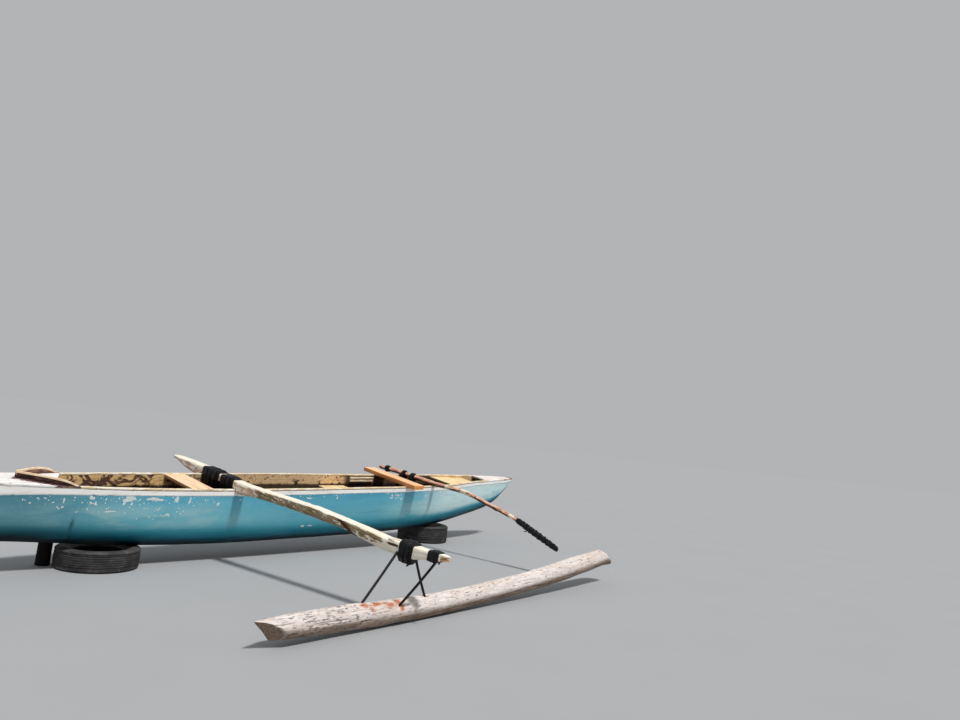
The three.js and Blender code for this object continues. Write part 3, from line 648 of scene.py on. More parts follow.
def plain(name, stretch, scale, stops, rough, distance, specular=0.3, on_boat=True):
    """One noise for colour and relief."""
    g = Graph(name, on_boat)
    skin = g.noise(stretch, scale, 5.0, 0.64, 0.3)
    colour = g.ramp(skin, *stops)
    roughness = g.step(skin, 0.3, 0.7, rough, rough + 0.15)
    return g.finish(colour, roughness, g.bump(skin, distance), specular)


def tyre_rubber():
    """Old tyre: grey-black, with painted shade in its grooves and pale dust on what faces up."""
    g = Graph("tyre_rubber", False)
    groove = g.painted()[0]
    dust = g.noise((5.0, 5.0, 9.0), 2.4, 6.0, 0.60, 0.3)
    fine = g.noise((40.0, 40.0, 60.0), 3.0, 4.0, 0.6)
    settled = g.plus(dust, g.step(g.parts(g.normal)[2], 0.1, 0.9, 0.0, 0.14))
    base = g.ramp(settled, (0.34, ink(34, 34, 36)), (0.55, ink(54, 53, 54)), (0.80, ink(84, 80, 77)))
    base = g.mix(g.step(fine, 0.5, 0.75, 0.0, 0.2), base, ink(80, 76, 72))
    # Painted shade: grooves and sipes darker.
    base = g.mix(g.times(groove, 0.5), base, ink(22, 21, 22))
    return g.finish(base, 0.8, g.bump(fine, 0.0006, 0.6))


HULL_PAINT = hull_paint()
PRIMER = primer()
INSIDE = inside_paint()
WHITE = white_paint()
DECK = deck_paint()
CAP = cap_wood()
BREAKER = breaker_wood()
BEAM = weathered_beam()
BARK = bark_branch()
LOG = bleached_log()
TYRE = tyre_rubber()
# Near-black rubber whose pale grey patches are painted highlights.
RUBBER = plain("rubber_strip", (11.0, 11.0, 11.0), 2.8, (
    (0.40, ink(5, 6, 9)), (0.58, ink(12, 13, 17)), (0.72, ink(58, 61, 68))), 0.42, 0.0008)
STEEL = plain("rod_steel", (50.0, 50.0, 50.0), 2.0, (
    (0.40, ink(14, 13, 14)), (0.60, ink(26, 22, 21)), (0.74, ink(80, 46, 30))), 0.6, 0.0008)
POST = plain("dark_post", (24.0, 24.0, 2.0), 3.0, (
    (0.36, ink(10, 9, 9)), (0.56, ink(24, 21, 20)), (0.74, ink(52, 45, 40))), 0.8, 0.0030, 0.2, False)
NAIL = plain("nail_steel", (60.0, 60.0, 60.0), 2.0, (
    (0.40, ink(60, 44, 36)), (0.70, ink(104, 74, 54))), 0.6, 0.0004)
# The fifth colour of each is the painted shade of its sides.
PEACH = timber("new_plank", ink(246, 216, 182), ink(238, 202, 164), ink(206, 158, 118), ink(165, 115, 80))
ORANGE = timber("orange_plank", ink(244, 204, 164), ink(236, 184, 138), ink(202, 144, 96), ink(190, 118, 58),
                1, ink(228, 150, 76))
PALE = timber("pale_plank", ink(238, 216, 172), ink(226, 198, 148), ink(186, 152, 104), ink(150, 114, 74))
STICK = timber("spreader_wood", ink(190, 160, 120), ink(160, 126, 88), ink(104, 78, 54), ink(120, 90, 62))
RISER = timber("riser_wood", ink(176, 138, 96), ink(146, 108, 72), ink(92, 64, 44), ink(110, 78, 52), 0)


# Hull

OUTER_FACETS, INNER_FACETS, HULL_STEP = 58, 40, 19


def half_at(x, z, inset=0.0, lift=0.0):
    """Half width of a hull section at a height; inset and lift make it the hollow's."""
    top = hull(SHEER, x) - CAP_THICK
    power = hull(FULLNESS, x)
    share = np.clip((top - z) / (top - hull(KEEL, x) - lift), 0, 1)
    return np.maximum(hull(HALF_BEAM, x) - inset, 0.4) * (1 - share ** power) ** (1 / power)


def inner_half(x, z):
    return half_at(x, z, WALL, BOTTOM)


def hollow_share(x):
    """1 where the log is hollow, 0 where it is solid."""
    return smooth(HOLLOW_FROM, HOLLOW_FROM + HOLLOW_RAMP, x) * smooth(HOLLOW_TO, HOLLOW_TO - HOLLOW_RAMP, x)


def u_section(x, facets, inset, lift, edge):
    """A rounded U from port to starboard below a height."""
    top = hull(SHEER, x) - CAP_THICK
    depth = top - hull(KEEL, x) - lift
    half = max(hull(HALF_BEAM, x) - inset, 0.4)
    power = 2 / hull(FULLNESS, x)
    first = math.asin(min((top - edge) / depth, 0.98) ** (1 / power))
    angle = np.linspace(first, math.pi - first, facets + 1)
    across = np.cos(angle)
    y = -half * np.sign(across) * np.abs(across) ** power
    return np.stack([np.full(facets + 1, x), y, top - depth * np.sin(angle) ** power], axis=1)


def hewn(points, edge, keel):
    """The hull's outside, hewn a little uneven, with how high on it a point is and which way is out."""
    share = np.clip((points[..., 2] - keel) / (edge - keel), 0, 1)
    centre = np.stack([edge * 0, edge * 0, edge], axis=-1)
    out = away_from(points, centre, (0, 1, 1))
    wave = grain(points, (420, 150, 120), 3) * 1.4 + grain(points, (90, 60, 60), 5, 2) * 0.45
    return points + out * ((wave - 1.2) * smooth(0, 0.06, 1 - share))[..., None], share, out


def make_hull():
    rings = []
    for x in spread(BOW, STERN, HULL_STEP):
        edge = hull(SHEER, x) - hull(BAND, x)
        outer = u_section(x, OUTER_FACETS, 0, 0, edge)
        inner = u_section(x, INNER_FACETS, min(WALL, hull(HALF_BEAM, x) * 0.6), BOTTOM, edge)[::-1]
        inner[:, 2] = edge - hollow_share(x) * (edge - inner[:, 2])
        rings.append(np.vstack([outer, inner]))
    rings = np.array(rings)
    count, around = OUTER_FACETS + 1, OUTER_FACETS + INNER_FACETS + 2
    stations = rings[:, :1, 0]
    sheer = hull(SHEER, stations)
    edge, keel = sheer - hull(BAND, stations), hull(KEEL, stations)
    drops = edge - rings[:, :, 2]
    rings[:, :count], share, _ = hewn(rings[:, :count], edge, keel)
    adze = grain(rings[:, count:], (130, 70, 60), 9, 3) * 1.7 * smooth(0, 30, drops[:, count:])
    rings[:, count:, 1:] -= np.sign(rings[:, count:, 1:]) * adze[..., None]
    height, joint = np.zeros(drops.shape), np.zeros(drops.shape)
    height[:, :count] = share
    line = HULL_JOINT["station"] + HULL_JOINT["lean"] * (drops - HULL_JOINT["drop"])
    mark = np.exp(-((rings[:, :, 0] - line) / HULL_JOINT["half"]) ** 2)
    mark = mark * smooth(*HULL_JOINT["fades"], drops) * HULL_JOINT["dark"]
    joint[:, :count] = mark[:, :count]
    body = loft(rings)
    inside = [int(len(f) == 4 and min(i % around for i in f) >= count) for f in body[1]]
    paint = values(body, height, joint, 0, (sheer - rings[:, :, 2]) / PAINT_DEPTH)
    nodes = ("hull_bow", "hull_fore_length", "hull_aft_length", "hull_stern")
    piece(nodes, body, HULL_PAINT, paint=paint, second=(INSIDE, inside), sharp=50)


# Chips of the teal on the port side: station, drop below the band, half length, half height.
CHIPS = [
    [-1400, 30, 3, 7], [-1320, 20, 6, 4], [-1200, 80, 5, 4], [-1190, 90, 6, 4], [-1170, 35, 6, 14],
    [-1170, 80, 8, 6], [-1110, 15, 5, 4], [-1010, 15, 15, 14], [-1010, 50, 8, 8], [-980, 55, 9, 10],
    [-920, 25, 6, 6], [-920, 50, 4, 4], [-880, 110, 32, 5], [-840, 15, 5, 5], [-770, 20, 44, 20],
    [-800, 52, 8, 12], [-750, 56, 6, 10], [-700, 25, 5, 6], [-600, 22, 53, 12], [-530, 140, 4, 4],
    [-510, 145, 5, 4], [-490, 135, 9, 9], [-490, 50, 5, 5], [-480, 135, 10, 10], [-470, 8, 5, 5],
    [-440, 25, 17, 16], [-440, 6, 8, 5], [-420, 115, 5, 5], [-410, 90, 5, 5], [-390, 130, 5, 5],
    [-340, 35, 8, 22], [-220, 30, 5, 5], [-110, 60, 9, 14], [70, 30, 6, 6], [730, 30, 28, 6],
    [750, 280, 22, 6], [830, 280, 22, 5], [1040, 35, 5, 14], [1730, 25, 10, 10], [1870, 65, 12, 10],
    [2230, 50, 10, 8], [2310, 10, 9, 12], [2450, 16, 14, 14], [2790, 145, 24, 4], [2790, 145, 4, 28],
]
CHIP_CLUSTER = {"station": 1790, "drop": 34, "long": 62, "high": 24, "count": 22}
# Tiny flecks are strewn over the port side: from and to station, from and to drop, how many.
FLECKS = [
    [-1400, -60, 6, 60, 46],
    [-700, -300, 60, 170, 26],
    [-1200, -700, 60, 130, 10],
    [600, 1150, 6, 26, 22],
]
# The same for the other side, which the photograph doesn't show.
FAR_CHIPS = [
    [-2300, 40, 24, 14], [-1500, 30, 40, 16], [-1050, 90, 16, 12], [-620, 24, 36, 18], [-200, 140, 16, 8],
    [260, 36, 44, 14], [690, 210, 40, 6], [1180, 30, 24, 18], [1650, 60, 30, 12], [2150, 40, 28, 16],
    [2700, 100, 40, 12], [3300, 30, 40, 14],
]
CHIP_PROUD = 0.7


def make_chips():
    random = np.random.default_rng(77)
    rows = [(*row, -1) for row in CHIPS] + [(*row, 1) for row in FAR_CHIPS]
    spot = CHIP_CLUSTER
    for _ in range(spot["count"]):
        x = spot["station"] + spot["long"] * random.normal()
        drop = max(spot["drop"] + spot["high"] * random.normal(), 8)
        rows.append((x, drop, random.uniform(3, 8), random.uniform(3, 7), -1))
    for first, last, high, low, count in FLECKS:
        for _ in range(count):
            size = random.uniform(1.6, 4.2)
            place = (random.uniform(first, last), random.uniform(high, low))
            rows.append((*place, size * random.uniform(0.8, 1.5), size, -1))
    bodies = []
    rim = 22
    turn = np.linspace(0, 2 * math.pi, rim, endpoint=False)
    for x, drop, long, high, side in rows:
        a, b, c = random.uniform(0, 2 * math.pi, 3)
        ragged = 1 + 0.24 * np.cos(2 * turn + a) + 0.20 * np.cos(3 * turn + b) + 0.14 * np.cos(7 * turn + c)
        stations = np.append(x + long * ragged * np.cos(turn), x)
        edges = hull(SHEER, stations) - hull(BAND, stations)
        heights = np.minimum(edges - drop + np.append(high * ragged * np.sin(turn), 0), edges - 1)
        points = np.stack([stations, side * half_at(stations, heights), heights], axis=1)
        skin, _, out = hewn(points, edges, hull(KEEL, stations))
        both = np.vstack([skin + out * CHIP_PROUD, skin - out])
        faces = []
        for i in range(rim):
            j = (i + 1) % rim
            faces += [(rim, i, j), (i + rim + 1, 2 * rim + 1, j + rim + 1), (i, i + rim + 1, j + rim + 1, j)]
        bodies.append((both, faces))
    piece("paint_chips", joined(bodies), PRIMER, "hull_paint")


# Strakes and caps

STRAKE_PROUD, STRAKE_LEVELS, STRAKE_INNER = 2.6, 9, 6


def make_strake(name, side, seed):
    rings, levels, depths = [], [], []
    for x in spread(BOW, STERN, HULL_STEP):
        sheer = hull(SHEER, x)
        top, low = sheer - CAP_THICK, sheer - hull(BAND, x) + GAP
        share = hollow_share(x)
        t = np.concatenate([np.linspace(0, 1, STRAKE_LEVELS), np.linspace(1, 0, STRAKE_INNER)])
        z = low + (top - low) * t
        outer = half_at(x, z)
        proud = STRAKE_PROUD * np.sqrt(np.minimum(1.0, t * (top - low) / 4.0))
        y = outer + np.minimum(proud, hull(HALF_BEAM, x) * 0.3)
        inner = np.clip(share * inner_half(x, z) + (1 - share) * 0.3, 0.3, np.maximum(outer - 1.5, 0.3))
        y[STRAKE_LEVELS:] = inner[STRAKE_LEVELS:]
        rings.append(np.stack([np.full(len(t), x), y, z], axis=1))
        levels.append(t)
        depths.append((sheer - z) / PAINT_DEPTH)
    rings = np.array(rings)
    wave = grain(rings[:, :STRAKE_LEVELS], (260, 80, 40), seed, 3) * 0.8
    rings[:, :STRAKE_LEVELS, 1] += wave * smooth(0, 12, rings[:, :STRAKE_LEVELS, 1])
    rings[:, 0, 2] += np.minimum(grain(rings[:, 0], (120, 80, 900), seed + 4, 3) * 1.5, 0)
    rings[:, :, 1] *= side
    body = loft(rings)
    around = rings.shape[1]
    inside = [int(len(f) == 4 and min(i % around for i in f) >= STRAKE_LEVELS) for f in body[1]]
    piece((name,), body, WHITE, paint=values(body, levels, 0, 0, depths), second=(INSIDE, inside))


def rounded_box(low_y, high_y, low_z, high_z, corner, steps=2):
    """Loop of (y, z) round a rectangle with rounded corners."""
    loop = []
    for cy, cz, start in (
        (high_y - corner, low_z + corner, -90),
        (high_y - corner, high_z - corner, 0),
        (low_y + corner, high_z - corner, 90),
        (low_y + corner, low_z + corner, 180),
    ):
        for i in range(steps + 1):
            angle = math.radians(start + 90 * i / steps)
            loop.append((cy + corner * math.cos(angle), cz + corner * math.sin(angle)))
    return loop


def make_cap(name, side, seed):
    rings = []
    for x in spread(FOREDECK_AFT + GAP, STERN_DECK_FROM - GAP, 12):
        half, high = hull(HALF_BEAM, x), hull(SHEER, x)
        loop = rounded_box(half - WALL, half + CAP_OUTSIDE, high - CAP_THICK + GAP, high, 2.6)
        rings.append([(x, y, z) for y, z in loop])
    rings = np.array(rings)
    outer = rings[:, :, 1] > rings[:, :, 1].mean(axis=1, keepdims=True)
    top = rings[:, :, 2] > rings[:, :, 2].mean(axis=1, keepdims=True)
    chip = np.clip(grain(rings, (46, 30, 30), seed, 4) - 0.22, 0, 1) * 7
    rings[:, :, 1] += np.where(outer, -1, 1) * chip * np.where(top, 1, 0.5)
    rings[:, :, 2] -= np.where(top, np.clip(grain(rings, (160, 60, 60), seed + 3, 3), -0.2, 1) * 0.9 + 0.2, 0)
    rings[:, :, 1] *= side
    piece((name,), loft(rings), CAP)


# Decks and wave breaker

BREAKER_APEX, BREAKER_AFT, BREAKER_THICK, BREAKER_SPREAD, BREAKER_ROUND = -1415, -1105, 11, 164, 1.15
BREAKER_HIGH, BREAKER_END = 50, 6
# Places up a breaker's face where its loop has points, as shares of its height.
BREAKER_LEVELS = (0.3, 0.5, 0.7, 0.85)
# Depth below a breaker's top that its paint's value counts as 1.
BREAKER_SHADE = 40


def deck_crown(half, share):
    """How far a deck of a half width rises above the gunwale, at a share of that width off the middle."""
    return DECK_CROWN * half / WIDEST_HALF * (1 - share * share)


def breaker_y(x):
    """Distance of the wave breaker's arms from the centreline at a station."""
    t = np.clip((np.asarray(x, float) - BREAKER_APEX) / (BREAKER_AFT - BREAKER_APEX), 0, 1)
    return BREAKER_SPREAD * np.sin(t * math.pi / 2) ** BREAKER_ROUND


def make_deck(name, first, last, mouth, seed, marks):
    """Closed crowned board over the hull's whole width, its aft edge cut in a V that is mouth deep."""
    across = 34
    v = np.linspace(-1, 1, across + 1)
    v = np.sign(v) * np.abs(v) ** 0.92
    full = hull(HALF_BEAM, last) + CAP_OUTSIDE
    opening = np.maximum(0.0, 1 - np.abs(v) * full / (hull(HALF_BEAM, last) - WALL)) * mouth
    rings = []
    for u in np.linspace(0, 1, 96 if mouth else 48):
        x = first + (last - opening - first) * u
        half, sheer = hull(HALF_BEAM, x) + CAP_OUTSIDE, hull(SHEER, x)
        y = v * half
        uneven = grain(np.stack([x, y, x * 0], axis=1), 130, seed)
        top = np.stack([x, y, sheer + deck_crown(half, v) + uneven - 0.6], axis=1)
        low = np.stack([x, y, sheer - CAP_THICK + GAP], axis=1)
        rings.append(np.vstack([top, low[::-1]]))
    body = loft(rings)
    from_edge = hull(HALF_BEAM, body[0][:, 0]) + CAP_OUTSIDE - np.abs(body[0][:, 1])
    smear, spot, pink = marks(body[0])
    paint = values(body, smear, spot, smooth(12, 4, from_edge), pink)
    piece((name,), body, DECK, paint=paint, sharp=35, arris=(1.6, 2))


def foredeck_marks(p):
    outside = np.abs(p[:, 1]) - breaker_y(p[:, 0])
    # Smears lie thickest along the outside of each breaker arm, where they also stand for painted shade
    # beside the arm.
    near = smooth(80, 0, outside) * smooth(-30, 6, outside)
    ahead = smooth(BREAKER_APEX - 60, BREAKER_APEX + 60, p[:, 0])
    smear = np.clip(near * ahead * 1.1 + 0.22 * grain(p, (200, 80, 80), 4), 0, 1)
    return smear, smooth(0.45, 0.8, grain(p, (70, 60, 60), 8)) * 0.4, 0.15


def stern_marks(p):
    spots = smooth(3820, 3960, p[:, 0]) * 0.9 + 0.3 * smooth(0.3, 0.7, grain(p, (60, 50, 50), 18))
    return 0.35 * smooth(0.1, 0.6, grain(p, (120, 60, 60), 14)), spots, 1.0


def make_breaker(name, side, seed):
    rings, below_top = [], []
    for t in np.linspace(0, 1, 65):
        x = BREAKER_APEX + (BREAKER_AFT - BREAKER_APEX) * t
        y = GAP / 2 + float(breaker_y(x))
        half, sheer = hull(HALF_BEAM, x), hull(SHEER, x)
        low = sheer + deck_crown(half, y / half) - 0.5
        high = max(sheer + BREAKER_HIGH + (BREAKER_END - BREAKER_HIGH) * t ** 4, low + 7)
        levels = [low + (high - low) * share for share in BREAKER_LEVELS]
        loop = rounded_box(y, y + BREAKER_THICK, low, high, 2.0)
        loop[3:3] = [(y + BREAKER_THICK, z) for z in levels]
        loop += [(y, z) for z in levels]
        rings.append([(x, py, pz) for py, pz in loop])
        below_top.append([(high - pz) / BREAKER_SHADE for _, pz in loop])
    rings = np.array(rings)
    rings[:, :, 1] = np.maximum(rings[:, :, 1] + grain(rings, (80, 60, 60), seed, 2) * 0.4, GAP / 2) * side
    body = loft(rings)
    piece((name,), body, BREAKER, paint=values(body, below_top))


# Planks, risers and bars: name, from x, to x, top below the sheer, thickness.
PLANKS = [
    ["front_thwart", -318, -152, 3, 24],
    ["middle_seat", 1215, 1515, 104, 22],
    ["stern_seat", 2700, 3190, 14, 20],
]
PLANK_FINISH = {"front_thwart": PEACH, "middle_seat": PALE, "stern_seat": PALE}
RISER_HIGH, RISER_IN, RISER_SETBACK, END_PLAY = 26, 30, 8, 1.5
REAR_THWART = {"from": 1900, "to": 2040, "port": -338, "starboard": 376, "thick": 38}
INNER_CLEAT = {"from": 1575, "to": 1880, "drop": 22, "high": 44, "deep": 26}
# The cleat's rails: where each ends and begins below the cleat's top, and how far it is set back.
CLEAT_RAILS = [[44, 25, 4], [24, 16, 12], [15, 0, 2]]
SPREADERS = [["front_spreader", 42, -78, 21], ["rear_spreader", 2262, -62, 18]]


def board(first, last, ends_at, low, high, seed, steps_x=10, steps_y=30, wave=0.5):
    """Closed board whose ends follow two sides that may change with station and height."""
    rings = []
    for x in np.linspace(first, last, steps_x + 1):
        top = [(x, y, high) for y in np.linspace(*ends_at(x, high), steps_y + 1)]
        under = [(x, y, low) for y in np.linspace(*ends_at(x, low), steps_y + 1)]
        rings.append(top + under[::-1])
    rings = np.array(rings, float)
    rings[:, :, 2] += grain(rings, (90, 160, 90), seed, 2) * wave - wave
    return loft(rings)


def between_walls(x, z):
    half = float(inner_half(x, z)) - END_PLAY
    return -half, half


def plank_top(first, last, drop):
    """Height of a level plank's top, a drop below the lower gunwale at its two edges."""
    return min(hull(SHEER, first), hull(SHEER, last)) - drop


def make_planks():
    for seed, (name, first, last, drop, thick) in enumerate(PLANKS):
        top = plank_top(first, last, drop)
        body = board(first, last, between_walls, top - thick, top, 40 + seed)
        piece((name,), body, PLANK_FINISH[name], arris=(2.2, 2))
        low = top - thick - GAP
        near = inner_half((first + last) / 2, low - RISER_HIGH / 2) - RISER_IN
        for label, side in (("port", -1), ("starboard", 1)):

            def ends_at(x, z):
                return sorted((side * near, side * (inner_half(x, z) - END_PLAY)))

            start, end = first + RISER_SETBACK, last - RISER_SETBACK
            body = board(start, end, ends_at, low - RISER_HIGH, low, 50 + seed, 8, 4, 0.2)
            piece((f"{name}_riser_{label}",), body, RISER, arris=(1.6, 2))


def make_rear_thwart():
    row = REAR_THWART
    low = max(hull(SHEER, row["from"]), hull(SHEER, row["to"])) + GAP
    ends = (row["port"], row["starboard"])
    body = board(row["from"], row["to"], lambda x, z: ends, low, low + row["thick"], 61, 8, 44, 0.6)
    piece(("rear_thwart",), body, ORANGE, arris=(3.2, 3))


def make_cleat():
    """Cleat of rails, one above the other, on the starboard wall."""
    row = INNER_CLEAT
    middle = (row["from"] + row["to"]) / 2
    top = hull(SHEER, middle) - row["drop"]
    near = inner_half(middle, top - row["high"]) - row["deep"]
    bodies = []
    for low, high, step in CLEAT_RAILS:

        def ends_at(x, z):
            return near + step, inner_half(x, z) - END_PLAY

        ends = (row["from"] + step, row["to"] - step)
        bodies.append(board(*ends, ends_at, top - low, top - high, 90, 12, 3, 0.3))
    piece(("inner_cleat",), joined(bodies), CAP, arris=(1.4, 2))


def make_spreaders():
    for seed, (name, x, z, radius) in enumerate(SPREADERS):
        half = between_walls(x, z)[1]
        loop = circle(x, z, radius, 20)
        rings = np.array([[(px, y, pz) for px, pz in loop] for y in spread(-half, half, 12)])
        out = away_from(rings, np.array([x, 0, z]), (1, 0, 1))
        rings += out * (grain(rings, (22, 90, 22), 70 + seed, 3) * 1.1 - 0.6)[..., None]
        piece((name,), loft(rings, cap_rings=1), STICK)


# Front boom, notched over the gunwales and spliced: y, underside, top.
BOOM_INNER = [
    [715, 24, 37],
    [626, 22, 45],
    [526, -3, 51],
    [439, -15, 57],
    [367, -21, 60],
    [258, -25, 63],
    [254, 6, 63],
    [-256, 6, 69],
    [-260, -24, 69],
    [-362, -9, 73],
    [-473, 11, 81],
    [-600, 25, 91],
    [-860, 48, 113],
    [-1130, 67, 135],
    [-1372, 86, 141],
]
BOOM_OUTER = [
    [-1372, 76, 141],
    [-1590, 76, 146],
    [-1830, 71, 148],
    [-1950, 74, 160],
    [-2090, 94, 174],
    [-2200, 128, 182],
    [-2290, 148, 194],
    [-2346, 160, 200],
]
BOOM_SEAT, BOOM_WIDE, BOOM_ARRIS = 6, 84, 9
BOOM_NARROWS = {"from": -1950, "by": 0.08}
SCARF = {"y": -1372, "top": 141, "slope": 2.6}
SPLIT_FROM = -2288
BOOM_LIFT = max(hull(SHEER, 0), hull(SHEER, BOOM_WIDE)) - BOOM_SEAT + GAP
SIDE_PARTS = (5, 2, 4, 2, 5, 2, 4, 2)


def boom_far(y):
    return BOOM_WIDE - BOOM_NARROWS["by"] * max(0.0, BOOM_NARROWS["from"] - y)


def boom_section(y):
    rows = np.array(sorted(BOOM_INNER if y > SCARF["y"] else BOOM_OUTER))
    return (np.interp(y, rows[:, 0], rows[:, k]) + BOOM_LIFT for k in (1, 2))


def boom_corners(row):
    y, low, high = row
    cut = min(BOOM_ARRIS, (high - low) / 3)
    slope = SCARF["slope"] if y == SCARF["y"] else 0
    far = boom_far(y)
    corners = [
        (cut, low), (far - cut, low), (far, low + cut), (far, high - cut),
        (far - cut, high), (cut, high), (0, high - cut), (0, low + cut),
    ]
    return np.array([(x, y - slope * (SCARF["top"] - z), z + BOOM_LIFT) for x, z in corners])


def boom_rings(table):
    """Rings along a boom, each side of its section parted, worn and slightly uneven."""
    rings = []
    for before, after in zip(table, table[1:]):
        first, last = boom_corners(before), boom_corners(after)
        count = max(1, round(abs(after[0] - before[0]) / 16))
        for i in range(count + (after is table[-1])):
            corners = first + (last - first) * i / count
            ring = []
            for k, parts in enumerate(SIDE_PARTS):
                a, b = corners[k], corners[(k + 1) % 8]
                ring.extend(a + (b - a) * j / parts for j in range(parts))
            rings.append(ring)
    rings = np.array(rings)
    out = away_from(rings, rings.mean(axis=1, keepdims=True), (1, 0, 1))
    dents = grain(rings, (60, 170, 60), 77, 3) * 1.6 - 1.5
    splits = -4.5 * smooth(0.50, 0.62, grain(rings, (16, 420, 16), 81, 2))
    rings = rings + out * (dents + splits)[..., None]
    worn = 0.5 * smooth(640, 716, rings[:, :1, 1]) ** 2
    rings[:, :, 0] += (BOOM_WIDE / 2 - rings[:, :, 0]) * worn
    return rings


def boom_paint(body, raw):
    """Paint left, raw wood, staining by the splice with the painted shade of a crack, and tan tone, by place
    along the boom and height on it.
    """
    x, y, z = body[0].T
    low, high = np.array([list(boom_section(at)) for at in y]).T
    share = np.clip((z - low) / np.maximum(high - low, 1), 0, 1)
    on_top = smooth(0.84, 0.96, share)
    by_hull = smooth(-560, -420, y)
    foot = smooth(0.42, 0.18, share) * smooth(-1420, -1560, y)
    side = 0.30 + 0.12 * by_hull + 0.42 * foot + 0.6 * smooth(-1780, -1900, y)
    cover = np.clip(side * (1 - on_top) + 0.92 * on_top, 0, 1)
    past = y - (SCARF["y"] - SCARF["slope"] * (SCARF["top"] + BOOM_LIFT - z))
    stain_and_crack_shade = np.where(past > 0, np.exp(-(past / 18) ** 2), np.exp(past / 110)) * (1 - 0.7 * on_top)
    # Painted shade: a dark line along a split in the outer boom's side.
    crack = smooth(12, 0, np.abs(z - low - (high - low) * 0.66))
    crack = crack * smooth(-1850, -1885, y) * smooth(-1975, -1950, y)
    return values(body, cover - crack, raw, np.maximum(stain_and_crack_shade, crack), by_hull)


# What is left of the boom's split end and loose splinters: from x, to x, low and high as shares of its
# height, from y, to y, raw wood's share.
SPLINTERS = [
    [4, 52, 0.60, 0.98, -2276, -2345, 0.0],
    [8, 50, 0.04, 0.42, -2276, -2346, 0.9],
    [50, 60, 0.30, 0.70, -2276, -2322, 0.7],
    [18, 24, 0.98, 1.05, -1850, -1905, 0.1],
    [30, 38, 0.98, 1.06, -1880, -1962, 0.1],
    [2, 8, 0.96, 1.04, -1868, -1930, 0.0],
]


def make_booms():
    body = loft(boom_rings(BOOM_INNER), cap_rings=2)
    piece(("front_boom",), body, BEAM, paint=boom_paint(body, 0.0), sharp=50)
    low, high = boom_section(SPLIT_FROM)
    table = [row for row in BOOM_OUTER if row[0] > SPLIT_FROM]
    main = boom_rings(table + [[SPLIT_FROM, low - BOOM_LIFT, high - BOOM_LIFT]])
    main[:, :, 1] -= 2 * GAP
    bodies = [loft(main, cap_rings=2)]
    raw = [np.zeros(len(bodies[0][0]))]
    for seed, (x0, x1, low_share, high_share, first, last, bare) in enumerate(SPLINTERS):
        rings = []
        for y in spread(first, last, 8):
            t = (y - first) / (last - first)
            bottom, top = boom_section(y)
            z0, z1 = bottom + (top - bottom) * low_share, bottom + (top - bottom) * high_share
            narrow = 1 - 0.75 * t ** 1.8
            cx, cz = (x0 + x1) / 2 + 4 * t * math.sin(seed * 2.1), (z0 + z1) / 2
            hx, hz = (x1 - x0) / 2 * narrow, (z1 - z0) / 2 * narrow
            loop = rounded_box(cx - hx, cx + hx, cz - hz, cz + hz, min(hx, hz) / 2)
            rings.append([(px, y, pz) for px, pz in loop])
        rings = np.array(rings)
        rings[:, :, ::2] += (grain(rings, (9, 30, 9), 90 + seed, 2) * 1.0)[..., None]
        bodies.append(loft(rings))
        raw.append(np.full(len(bodies[-1][0]), bare))
    body = joined(bodies)
    piece(("front_boom_outer",), body, BEAM, paint=boom_paint(body, np.concatenate(raw)), sharp=50)


# Rear boom, a crooked branch: y, x, height of its centre above the sheer, radius.
BRANCH = [
    [470, 2225, 22, 23],
    [230, 2268, 25, 25],
    [0, 2290, 26, 25],
    [-230, 2305, 26, 25],
    [-350, 2305, 35, 24],
    [-500, 2302, 46, 23],
    [-640, 2300, 52, 23],
    [-780, 2300, 42, 22],
    [-925, 2300, 22, 22],
    [-1110, 2300, 3, 21],
    [-1285, 2300, -24, 20],
    [-1510, 2300, -82, 20],
    [-1765, 2300, -146, 18],
]
BRANCH_LIFT = hull(SHEER, 2290)
# Beyond this y the stick's cut end is dark.
BRANCH_CUT = -1740
# Knots of the stick: y, angle round it in degrees, height, length.
KNOTS = [
    [-300, 60, 5, 26], [-430, 200, 4, 22], [-560, 120, 6, 24], [-655, 20, 7, 30], [-790, 250, 5, 22],
    [-905, 90, 6, 26], [-1040, 330, 5, 22], [-1195, 40, 7, 30], [300, 150, 5, 24], [-480, 300, 5, 20],
    [-735, 280, 6, 22], [-980, 270, 5, 20], [-1110, 260, 5, 20],
]
# Where the stick is worn pale: y, half length.
PALE_PLACES = [[-650, 90], [-1235, 50], [-420, 40]]


def branch_at(y):
    x, z, radius = (sample(BRANCH, k, y) for k in (1, 2, 3))
    return x, z + BRANCH_LIFT, radius


